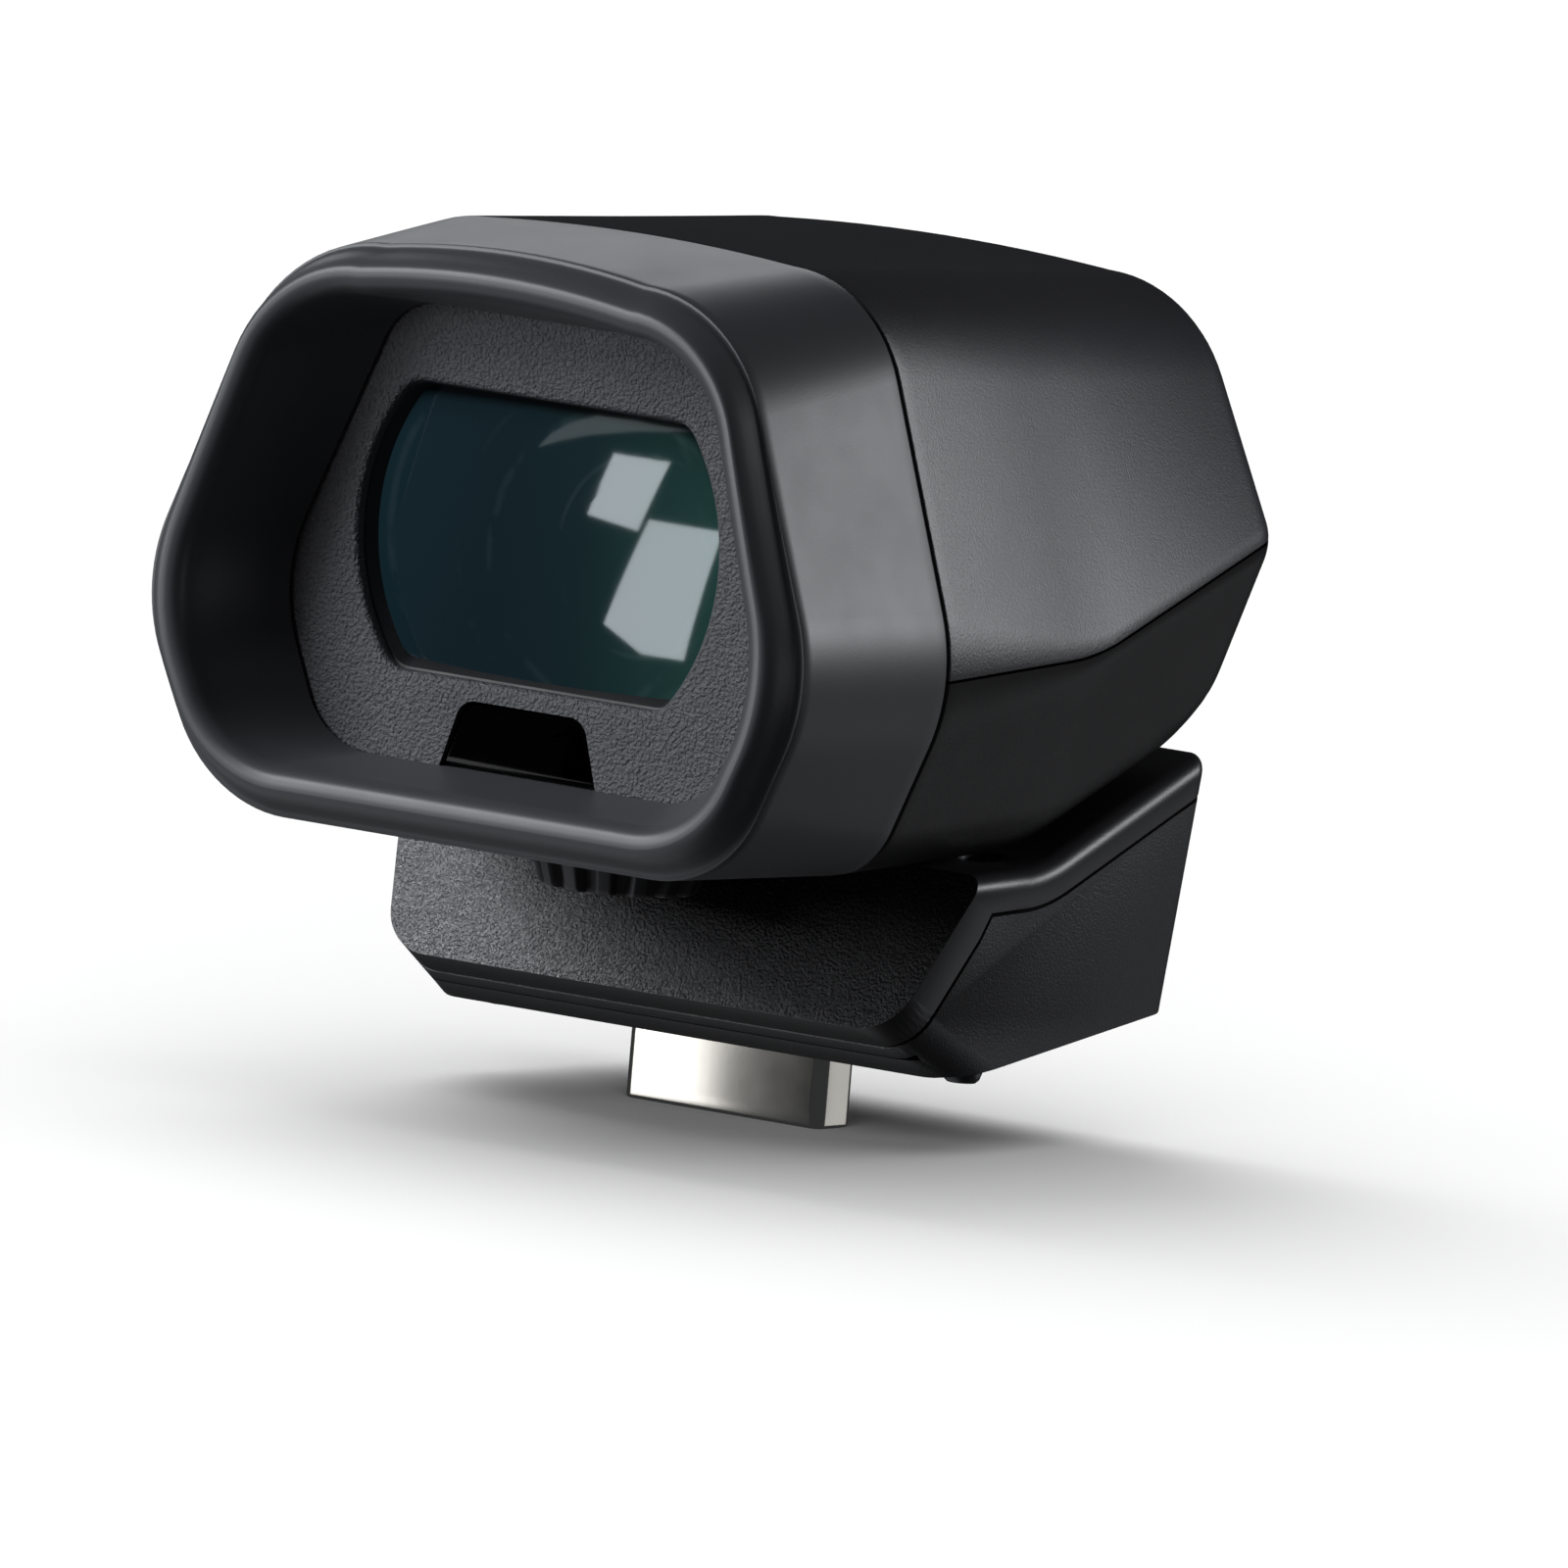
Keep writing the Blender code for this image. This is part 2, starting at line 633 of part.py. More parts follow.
def underside_rise(depth, wall=0.0):
    radius = HINGE_ROUND - wall
    if depth <= ramp_start(wall):
        return flat_rise(depth, wall)
    if depth <= round_start(wall):
        return ramp_rise(depth, wall)
    across = min(depth - HINGE_DEPTH, radius)
    return HINGE_RISE - math.sqrt(radius * radius - across * across)


def parting_rise(depth):
    """Height of the widest line of the head, where the shells part."""
    kink_rise = SEAM_MID_RISE + KINK_DROP
    before = (kink_rise - SEAM_MID_RISE) / (KINK_DEPTH - SEAM_DEPTH)
    after = (REAR_MID_RISE - kink_rise) / (rear_depth() - KINK_DEPTH)
    past = depth - KINK_DEPTH
    if past <= -KINK_ROUND:
        return kink_rise + past * before
    if past >= KINK_ROUND:
        return kink_rise + past * after
    share = (past + KINK_ROUND) / (2 * KINK_ROUND)
    return kink_rise - KINK_ROUND * before + 2 * KINK_ROUND * (
        before * share + (after - before) * share * share / 2
    )


def rear_depth(wall=0.0):
    return HINGE_DEPTH + HINGE_ROUND - wall


def head_outline(depth, wall=0.0):
    """Outline of the shells at a depth, moved inwards by a wall."""
    share = (depth - SEAM_DEPTH) / (rear_depth() - SEAM_DEPTH)
    edge = max(REAR_EDGE_ROUND - wall, FIT_GAP)
    past = depth - (rear_depth(wall) - edge)
    pull = edge - math.sqrt(max(edge * edge - past * past, 0.0)) if past > 0 else 0.0
    whole = wall + pull
    bottom_rise = underside_rise(depth, wall) - whole
    top = (blend(SEAM_TOP_HALF, REAR_TOP_HALF, share), blend(SEAM_TOP_RISE, REAR_TOP_RISE, share))
    middle = (blend(SEAM_MID_HALF, REAR_MID_HALF, share), parting_rise(depth))
    seam_lean = (SEAM_MID_HALF - SEAM_BOTTOM_HALF) / (SEAM_MID_RISE - SEAM_BOTTOM_RISE)
    rear_lean = (REAR_MID_HALF - REAR_BOTTOM_HALF) / (REAR_MID_RISE - REAR_BOTTOM_RISE)
    lean = blend(seam_lean, rear_lean, share)
    bottom = (middle[0] - (middle[1] - bottom_rise) * lean, bottom_rise)
    middle_round = max(blend(SEAM_MID_ROUND, REAR_MID_ROUND, min(2 * share, 1.0)) - whole, FIT_GAP)
    top_round = max(blend(SEAM_TOP_ROUND, REAR_TOP_ROUND, share) - whole, FIT_GAP)
    rounds = six_rounds(top_round, middle_round, max(SEAM_BOTTOM_ROUND - whole, FIT_GAP))
    return rounded_ring(inset(six_corners(top, middle, bottom), whole), rounds, CROWN)


def head_stations(first, wall=0.0):
    """Depths at which the shells have a ring of points."""
    found = [first, KINK_DEPTH - KINK_ROUND, KINK_DEPTH, KINK_DEPTH + KINK_ROUND, round_start(wall)]
    found.append(blend(SEAM_DEPTH, KINK_DEPTH, 1 / 2))
    found.append(ramp_start(wall))
    found.append(blend(ramp_start(wall), round_start(wall), 1 / 2))
    radius = HINGE_ROUND - wall
    for i in range(1, HINGE_STEPS + 1):
        angle = RAMP_ANGLE + (math.pi / 2 - RAMP_ANGLE) * i / HINGE_STEPS
        found.append(HINGE_DEPTH + radius * math.sin(angle))
    kept = []
    for depth in sorted(found):
        if depth >= first and (not kept or depth - kept[-1] > STATION_GAP):
            kept.append(depth)
    return kept


def head_solid(name, first, wall=0.0):
    return loft(name, [at_depth(head_outline(depth, wall), depth) for depth in head_stations(first, wall)])


def parting_cutter(name, side):
    """Everything on one side of the parting line: 1 for above, -1 for below."""
    depths = [SEAM_DEPTH - OVERRUN] + head_stations(SEAM_DEPTH) + [rear_depth() + OVERRUN]
    outline = [(depth, parting_rise(depth) - side * PARTING_GAP / 2) for depth in depths]
    far = side * (SEAM_TOP_RISE - SEAM_BOTTOM_RISE)
    outline.append((depths[-1], far))
    outline.append((depths[0], far))
    return side_prism(name, outline, SEAM_MID_HALF + OVERRUN)


def shells():
    """The two shells, hollow and parted along the widest line, before their details."""
    front = SEAM_DEPTH + FIT_GAP
    made = []
    for name, side in (("upper_shell", -1), ("lower_shell", 1)):
        shell = head_solid(name, front)
        cut(shell, head_solid("hollow", front - OVERRUN / 2, SHELL_WALL), parting_cutter("other_half", side))
        made.append(shell)
    return made


def shell_screw_places():
    places = []
    for depth in (SHELL_SCREW_FRONT_DEPTH, SHELL_SCREW_REAR_DEPTH):
        for side in (-1, 1):
            places.append((side * SHELL_SCREW_SPACING, depth))
    return places


def pillar(name, x, depth, low, high, radius, steps=SMALL_ROUND_STEPS):
    return cylinder(name, place(x, depth, low), radius, high - low, "Z", steps)


def upper_shell(shell):
    """Bosses for the screws that come up from the lower shell."""
    radius = SCREW_RADIUS + BOSS_WALL
    for x, depth in shell_screw_places():
        boss = pillar("boss", x, depth, SHELL_BOSS_MEET_RISE + FIT_GAP, SEAM_TOP_RISE, radius)
        combine(boss, head_solid("limit", SEAM_DEPTH + FIT_GAP, SHELL_WALL / 2), "INTERSECT")
        join(shell, boss)
        hole_top = SHELL_BOSS_MEET_RISE + SCREW_BITE + FIT_GAP
        hole = pillar("hole", x, depth, SHELL_BOSS_MEET_RISE - OVERRUN, hole_top, SCREW_RADIUS + FIT_GAP)
        cut(shell, hole)
    return dress(shell, BLACK_SHELL, 0.45)


def lower_shell(shell):
    """Bosses, the knob's hole, and the slot for the hinge barrel."""
    boss = SCREW_RADIUS + BOSS_WALL
    for x, depth in shell_screw_places():
        floor = underside_rise(depth, SHELL_WALL / 2)
        join(shell, pillar("boss", x, depth, floor, SHELL_BOSS_MEET_RISE, boss))
        cut(
            shell,
            pillar("hole", x, depth, floor - OVERRUN, SHELL_BOSS_MEET_RISE + OVERRUN, SCREW_RADIUS + FIT_GAP),
            pillar("sink", x, depth, floor - OVERRUN, screw_seat(depth), SCREW_HEAD_RADIUS + FIT_GAP),
        )
    for side in (-1, 1):
        x, depth = arm_screw_place(side)
        floor = underside_rise(depth, SHELL_WALL / 2)
        join(shell, pillar("arm_boss", x, depth, floor, arm_seat_rise() - FIT_GAP, boss))
        cut(shell, pillar("arm_hole", x, depth, arm_screw_end() - FIT_GAP, arm_seat_rise() + OVERRUN,
                          SCREW_RADIUS + FIT_GAP))
    knob_hole = pillar("knob_hole", 0.0, KNOB_DEPTH, SEAM_BOTTOM_RISE - OVERRUN, SEAM_BOTTOM_RISE + OVERRUN,
                       KNOB_SHAFT_RADIUS + FIT_GAP, ROUND_STEPS)
    cut(shell, knob_hole)
    half = BARREL_HALF_WIDTH + BARREL_SIDE_GAP
    front = HINGE_DEPTH - NECK_HALF_DEPTH - CRADLE_GAP
    slot = box(
        "slot",
        place(-half, front, SEAM_BOTTOM_RISE - OVERRUN),
        place(half, rear_depth() + OVERRUN, HINGE_RISE + SLOT_TOP_RISE),
    )
    clear_start = place(-half, HINGE_DEPTH, HINGE_RISE)
    clear = cylinder("clear", clear_start, BARREL_RADIUS + BARREL_SIDE_GAP, 2 * half, "X")
    cut(shell, slot, clear)
    return dress(shell, BLACK_SHELL, 0.5)


def screw_seat(depth):
    """Rise of the face that a shell screw's head bears on."""
    return underside_rise(depth) + SCREW_HEAD_HEIGHT + FIT_GAP


def screw(name, x, depth, head_rise, tip_rise, side=-1):
    """A small screw with a socket. Side -1 has its head below, 1 above."""
    profile = [
        (0.0, -SCREW_SOCKET_DEPTH),
        (SCREW_SOCKET_RADIUS, -SCREW_SOCKET_DEPTH),
        (SCREW_SOCKET_RADIUS, 0.0),
        (SCREW_HEAD_RADIUS, 0.0),
        (SCREW_HEAD_RADIUS, -SCREW_HEAD_HEIGHT),
        (SCREW_RADIUS, -SCREW_HEAD_HEIGHT),
        (SCREW_RADIUS, -abs(tip_rise - head_rise)),
        (0.0, -abs(tip_rise - head_rise)),
    ]
    turned_profile = [(radius, side * along) for radius, along in profile]
    made = turned(name, place(x, depth, head_rise), turned_profile, "Z", SCREW_STEPS)
    return dress(made, STEEL, 0.35, 1.0)


def shell_screws():
    for i, (x, depth) in enumerate(shell_screw_places()):
        head = screw_seat(depth) - FIT_GAP - SCREW_HEAD_HEIGHT
        screw("shell_screw_%d" % (i + 1), x, depth, head, SHELL_BOSS_MEET_RISE + SCREW_BITE)


def eyecup():
    """A ridged and beaded lip, an outer wall that runs to the seam, a funnel, and a skirt round the frame."""
    edge = cup_outline(LIP_EDGE_DEPTH)
    crest = bead_outline()
    inner = bead_outline(BEAD_WIDTH)
    well = well_outline()
    well_depth = BEZEL_DEPTH - FIT_GAP
    rings = [at_depth(cup_outline(SEAM_DEPTH), SEAM_DEPTH)]
    for share in reversed(WALL_RING_SHARES):
        depth = blend(LIP_EDGE_DEPTH, SEAM_DEPTH, share)
        rings.append(bowed(cup_outline(depth), depth, 1 - share))
    for share, lift_share in LIP_SECTION_SHARES:
        rings.append(bowed(mixed(edge, crest, share), LIP_EDGE_DEPTH - BEAD_PROUD * lift_share))
    for share, lift_share in BEAD_SECTION_SHARES:
        rings.append(bowed(mixed(crest, inner, share), LIP_EDGE_DEPTH - BEAD_PROUD * lift_share))
    mouth_depth = LIP_EDGE_DEPTH - BEAD_PROUD * BEAD_SECTION_SHARES[-1][1]
    for share in FUNNEL_RING_SHARES:
        rings.append(bowed(mixed(inner, well, share), blend(mouth_depth, well_depth, share), 1 - share))
    for depth in (well_depth, blend(well_depth, SEAM_DEPTH, 1 / 2), SEAM_DEPTH):
        rings.append(at_depth(cup_outline(depth, SKIRT_WALL), depth))
    return dress(loft("eyecup", rings, closed=True), RUBBER, 0.55)


def well_outline():
    """Where the funnel meets the bezel."""
    return rounded_ring(
        six_corners(
            (WELL_TOP_HALF, WELL_TOP_RISE), (WELL_MID_HALF, WELL_MID_RISE), (WELL_BOTTOM_HALF, WELL_BOTTOM_RISE)
        ),
        six_rounds(WELL_ROUND, WELL_ROUND, WELL_BOTTOM_ROUND),
    )


def cup_solid(name, first, last, wall):
    return loft(name, [at_depth(cup_outline(depth, wall), depth) for depth in (first, last)])


def window_outline(margin=0.0):
    """A circle cut flat at top and bottom."""
    radius = WINDOW_RADIUS + margin
    height = WINDOW_HALF_HEIGHT + margin
    half = math.asin(height / radius)
    points = []
    for side in (0.0, math.pi):
        for i in range(ROUND_STEPS // 2 + 1):
            angle = side - half + 2 * half * i / (ROUND_STEPS // 2)
            points.append((radius * math.cos(angle), radius * math.sin(angle)))
    return points


def sensor_outline(margin=0.0):
    top = SENSOR_TOP_RISE + margin
    bottom = SENSOR_BOTTOM_RISE - margin
    corners = [
        Vector((SENSOR_BOTTOM_HALF + margin, bottom)),
        Vector((SENSOR_TOP_HALF + margin, top)),
        Vector((-SENSOR_TOP_HALF - margin, top)),
        Vector((-SENSOR_BOTTOM_HALF - margin, bottom)),
    ]
    points = [corners[0]]
    for i in (1, 2):
        points.extend(corner_arc(corners[i - 1], corners[i], corners[i + 1], SENSOR_CORNER, CORNER_STEPS))
    points.append(corners[3])
    return points


def bezel():
    made = cup_solid("eyepiece_bezel", BEZEL_DEPTH, BEZEL_DEPTH + BEZEL_THICK, SKIRT_WALL + FIT_GAP)
    start = BEZEL_DEPTH - OVERRUN
    length = BEZEL_THICK + 2 * OVERRUN
    cut(
        made,
        front_prism("window", window_outline(), start, length),
        front_prism("sensor", sensor_outline(FIT_GAP), start, length),
    )
    return dress(made, GRAINED, 0.6)


def frame_depth():
    return BEZEL_DEPTH + BEZEL_THICK + FIT_GAP


def sensor_middle():
    return (SENSOR_TOP_RISE + SENSOR_BOTTOM_RISE) / 2


def eyepiece_frame():
    """A plate behind the bezel with a wall that runs back into the shells."""
    front = frame_depth()
    back = SEAM_DEPTH + FRAME_LAP
    outer = SKIRT_WALL + FIT_GAP
    depths = (front, SEAM_DEPTH, back)
    rings = [at_depth(cup_outline(SEAM_DEPTH, outer) if depth == back else cup_outline(depth, outer), depth)
             for depth in depths]
    made = loft("eyepiece_frame", rings)
    inner = outer + FRAME_WALL
    inside = front + FRAME_PLATE
    hollow = loft("hollow", [
        at_depth(cup_outline(inside, inner), inside),
        at_depth(cup_outline(SEAM_DEPTH, inner), SEAM_DEPTH),
        at_depth(cup_outline(SEAM_DEPTH, inner), back + OVERRUN),
    ])
    start = front - OVERRUN
    length = FRAME_PLATE + 2 * OVERRUN
    half = SENSOR_CHIP_HALF + FIT_GAP
    low = sensor_middle() - SENSOR_CHIP_HEIGHT / 2 - FIT_GAP
    high = low + SENSOR_CHIP_HEIGHT + 2 * FIT_GAP
    chip_hole = box("chip_hole", place(-half, start, low), place(half, start + length, high))
    notch = pillar("notch", 0.0, KNOB_DEPTH, SEAM_BOTTOM_RISE - OVERRUN, SEAM_BOTTOM_RISE + OVERRUN,
                   KNOB_CLIP_RADIUS + 2 * FIT_GAP)
    lens_hole = front_prism("lens_hole", window_outline(LENS_LAP + FIT_GAP), start, length)
    cut(made, hollow, lens_hole, chip_hole, notch)
    return dress(made, BLACK_SHELL, 0.5)


def domed_profile(radius, edge, crown):
    """Half outline of a lens that is domed on both faces."""
    front = [(radius * share, crown * share * share) for share in reversed(LENS_RING_SHARES)]
    profile = [(0.0, 0.0)] + list(reversed(front))
    back = [(r, 2 * crown + edge - along) for r, along in front]
    return profile + back + [(0.0, 2 * crown + edge)]


def eye_lens():
    """A domed lens, cut flat at top and bottom to sit behind the window."""
    radius = WINDOW_RADIUS + LENS_LAP
    rim = frame_depth()
    profile = domed_profile(radius, LENS_EDGE, LENS_CROWN)
    made = turned("eye_lens", place(0.0, rim - LENS_CROWN, 0.0), profile, "Y")
    height = WINDOW_HALF_HEIGHT + LENS_LAP
    for side in (-1, 1):
        near = side * height
        far = side * (radius + OVERRUN)
        low = place(-radius - OVERRUN, rim - OVERRUN, min(near, far))
        cut(made, box("flat", low, place(radius + OVERRUN, rim + LENS_EDGE + OVERRUN, max(near, far))))
    front_face = box(
        "rim", place(-radius - OVERRUN, rim - OVERRUN, -height - OVERRUN),
        place(radius + OVERRUN, rim, height + OVERRUN),
    )
    keep = front_prism("keep", window_outline(-FIT_GAP), rim - OVERRUN - FIT_GAP, 2 * OVERRUN)
    cut(front_face, keep)
    cut(made, front_face)
    return dress(made, GLASS_TINT, 0.05)


def sensor_pieces():
    """Dark window in the bezel, and the chip and board behind it."""
    window = front_prism("sensor_window", sensor_outline(), BEZEL_DEPTH + SENSOR_SINK, SENSOR_THICK)
    dress(window, BLACK_SHELL, 0.1)
    low = sensor_middle() - SENSOR_CHIP_HEIGHT / 2
    board_depth = frame_depth() + FRAME_PLATE + FIT_GAP
    chip_front = BEZEL_DEPTH + SENSOR_SINK + SENSOR_THICK + FIT_GAP
    chip = box(
        "proximity_sensor",
        place(-SENSOR_CHIP_HALF, chip_front, low),
        place(SENSOR_CHIP_HALF, board_depth - FIT_GAP, low + SENSOR_CHIP_HEIGHT),
    )
    dress(chip, BLACK_SHELL, 0.3)
    low = sensor_middle() - SENSOR_CHIP_HEIGHT / 2
    board = box(
        "sensor_board",
        place(-SENSOR_BOTTOM_HALF, board_depth, low),
        place(SENSOR_BOTTOM_HALF, board_depth + SENSOR_BOARD_THICK, low + SENSOR_CHIP_HEIGHT),
    )
    dress(board, BOARD_GREEN, 0.5)


def lens_guide():
    """A tube on a plate inside the frame, in which the carriage slides."""
    inner = SKIRT_WALL + FIT_GAP + FRAME_WALL + FIT_GAP
    made = cup_solid("lens_guide", GUIDE_DEPTH, GUIDE_DEPTH + GUIDE_FLANGE, inner)
    length = GUIDE_END_DEPTH - GUIDE_DEPTH
    join(made, cylinder("tube", place(0.0, GUIDE_DEPTH + GUIDE_FLANGE / 2, 0.0), GUIDE_RADIUS,
                        length - GUIDE_FLANGE / 2, "Y"))
    bore = cylinder("bore", place(0.0, GUIDE_DEPTH - OVERRUN, 0.0), GUIDE_RADIUS - GUIDE_WALL,
                    length + 2 * OVERRUN, "Y")
    sweep = pillar("sweep", 0.0, KNOB_DEPTH, -GUIDE_RADIUS - OVERRUN, -GUIDE_RADIUS / 2,
                   PIN_THROW + PIN_RADIUS + FIT_GAP)
    cut(made, bore, sweep)
    return dress(made, BLACK_SHELL, 0.5)


def carriage_radius():
    return GUIDE_RADIUS - GUIDE_WALL - FIT_GAP


def lens_carriage():
    """A ring with a cross slot for the knob's pin and a shoulder in front of the inner lens."""
    outer = carriage_radius()
    inner = outer - CARRIAGE_WALL
    shoulder = inner - LENS_LAP
    seat = INNER_LENS_SET - FIT_GAP
    profile = [
        (outer, 0.0), (outer, CARRIAGE_LENGTH), (inner, CARRIAGE_LENGTH), (inner, seat), (shoulder, seat),
        (shoulder, seat - CARRIAGE_WALL), (inner, seat - CARRIAGE_WALL), (inner, 0.0),
    ]
    made = turned("lens_carriage", place(0.0, CARRIAGE_DEPTH, 0.0), profile, "Y")
    side = PIN_RADIUS + SLOT_SIDE_GAP
    reach = PIN_THROW + PIN_RADIUS + FIT_GAP
    slot_low = place(-reach, KNOB_DEPTH - side, -outer - OVERRUN)
    slot = box("slot", slot_low, place(reach, KNOB_DEPTH + side, -inner / 2))
    cut(made, slot)
    return dress(made, BLACK_SHELL, 0.4)


def inner_lens():
    radius = carriage_radius() - CARRIAGE_WALL - FIT_GAP
    front = CARRIAGE_DEPTH + INNER_LENS_SET - INNER_LENS_CROWN
    profile = domed_profile(radius, INNER_LENS_EDGE, INNER_LENS_CROWN)
    made = turned("inner_lens", place(0.0, front, 0.0), profile, "Y")
    return dress(made, GLASS_TINT, 0.05)


def knob_top_rise():
    return underside_rise(KNOB_DEPTH - KNOB_RADIUS) - KNOB_RUN_GAP


def clip_rise():
    return underside_rise(KNOB_DEPTH + KNOB_CLIP_RADIUS, SHELL_WALL) + FIT_GAP


def focus_knob():
    """A lugged wheel under the head, its shaft, and the pin that stands off its centre."""
    top = knob_top_rise()
    rings = []
    points_each = 4
    for rise, radius in ((top, KNOB_RADIUS), (top - KNOB_HEIGHT, KNOB_FOOT_RADIUS)):
        ring = []
        for i in range(KNOB_LUGS * points_each):
            angle = 2 * math.pi * (i + 1 / 2) / (KNOB_LUGS * points_each)
            size = radius if i % points_each in (0, 1) else radius - KNOB_LUG
            ring.append(place(size * math.cos(angle), KNOB_DEPTH + size * math.sin(angle), rise))
        rings.append(ring)
    made = loft("focus_knob", rings)
    shaft_top = clip_rise() + KNOB_CLIP_THICK + FIT_GAP + KNOB_GROOVE
    low = top - KNOB_HEIGHT / 2
    groove_low = clip_rise() - FIT_GAP - low
    groove_top = groove_low + KNOB_CLIP_THICK + 2 * FIT_GAP
    join(made, turned("shaft", place(0.0, KNOB_DEPTH, low), [
        (0.0, 0.0),
        (KNOB_SHAFT_RADIUS, 0.0),
        (KNOB_SHAFT_RADIUS, groove_low),
        (KNOB_SHAFT_RADIUS - KNOB_GROOVE, groove_low),
        (KNOB_SHAFT_RADIUS - KNOB_GROOVE, groove_top),
        (KNOB_SHAFT_RADIUS, groove_top),
        (KNOB_SHAFT_RADIUS, shaft_top - low),
        (0.0, shaft_top - low),
    ]))
    join(made, pillar("pin", PIN_THROW, KNOB_DEPTH, shaft_top - KNOB_GROOVE / 2, pin_top_rise(), PIN_RADIUS))
    return dress(made, GRAINED, 0.6)


def pin_top_rise():
    return -carriage_radius() + PIN_REACH


def knob_clip():
    """A clip in the groove of the knob's shaft, above the floor of the lower shell."""
    inner = KNOB_SHAFT_RADIUS - KNOB_GROOVE + FIT_GAP / 2
    made = turned("knob_clip", place(0.0, KNOB_DEPTH, clip_rise()), [
        (inner, 0.0), (KNOB_CLIP_RADIUS, 0.0), (KNOB_CLIP_RADIUS, KNOB_CLIP_THICK), (inner, KNOB_CLIP_THICK),
    ], "Z", SMALL_ROUND_STEPS)
    return dress(made, STEEL, 0.35, 1.0)


def display_pieces():
    """Holder on the end of the guide, with the panel, its board and the driver chip behind."""
    holder_depth = GUIDE_END_DEPTH + DISPLAY_GAP
    holder = box(
        "display_holder",
        place(-HOLDER_HALF_WIDTH, holder_depth, -HOLDER_HALF_HEIGHT),
        place(HOLDER_HALF_WIDTH, holder_depth + HOLDER_THICK, HOLDER_HALF_HEIGHT),
    )
    cut(holder, box(
        "screen_hole",
        place(-SCREEN_HALF_WIDTH, holder_depth - OVERRUN, -SCREEN_HALF_HEIGHT),
        place(SCREEN_HALF_WIDTH, holder_depth + HOLDER_THICK + OVERRUN, SCREEN_HALF_HEIGHT),
    ))
    dress(holder, BLACK_SHELL, 0.5)
    panel_depth = holder_depth + HOLDER_THICK + FIT_GAP
    panel = box(
        "display_panel",
        place(-SCREEN_HALF_WIDTH - PANEL_MARGIN, panel_depth, -SCREEN_HALF_HEIGHT - PANEL_MARGIN),
        place(SCREEN_HALF_WIDTH + PANEL_MARGIN, panel_depth + PANEL_THICK, SCREEN_HALF_HEIGHT + PANEL_MARGIN),
    )
    dress(panel, BLACK_SHELL, 0.1)
    board_depth = display_board_depth()
    board = box(
        "display_board",
        place(-BOARD_HALF_WIDTH, board_depth, -BOARD_DROP),
        place(BOARD_HALF_WIDTH, board_depth + BOARD_THICK, BOARD_HEIGHT - BOARD_DROP),
    )
    dress(board, BOARD_GREEN, 0.5)
    chip_depth = board_depth + BOARD_THICK + FIT_GAP
    chip_low = BOARD_HEIGHT - BOARD_DROP - 2 * CHIP_HALF - BOARD_THICK
    chip = box(
        "display_driver",
        place(-CHIP_HALF, chip_depth, chip_low),
        place(CHIP_HALF, chip_depth + CHIP_THICK, chip_low + 2 * CHIP_HALF),
    )
    dress(chip, BLACK_SHELL, 0.3)


def display_board_depth():
    return GUIDE_END_DEPTH + DISPLAY_GAP + HOLDER_THICK + FIT_GAP + PANEL_THICK + FIT_GAP


def path_normals(points):
    """The mitred offset direction at each point of an open path, to the left of its run."""
    normals = []
    for i, here in enumerate(points):
        arriving = (here - points[i - 1]).normalized() if i else (points[1] - here).normalized()
        leaving = (points[i + 1] - here).normalized() if i + 1 < len(points) else arriving
        first = Vector((-arriving.y, arriving.x))
        second = Vector((-leaving.y, leaving.x))
        normals.append((first + second) / (1.0 + first.dot(second)))
    return normals


def offset_path(points, distance):
    return [point + normal * distance for point, normal in zip(points, path_normals(points))]


def rounded_path(points, radius, steps=FILLET_STEPS):
    made = [points[0]]
    for i in range(1, len(points) - 1):
        made.extend(corner_arc(points[i - 1], points[i], points[i + 1], radius, steps))
    made.append(points[-1])
    return made


def ribbon(name, points):
    """A flat cable along a path of (depth, rise)."""
    route = rounded_path([Vector(point) for point in points], RIBBON_BEND)
    edge = offset_path(route, RIBBON_THICK / 2)
    other = offset_path(route, -RIBBON_THICK / 2)
    made = side_prism(name, edge + list(reversed(other)), RIBBON_HALF_WIDTH)
    return dress(made, (0.35, 0.16, 0.03), 0.4)


def display_ribbon():
    start_rise = HINGE_RISE + BARREL_RADIUS + FIT_GAP
    board_back = display_board_depth() + BOARD_THICK + FIT_GAP
    turn_rise = start_rise + RIBBON_CLIMB
    return ribbon("display_ribbon", [
        (HINGE_DEPTH, start_rise),
        (HINGE_DEPTH, turn_rise),
        (board_back + FIT_GAP, turn_rise),
    ])


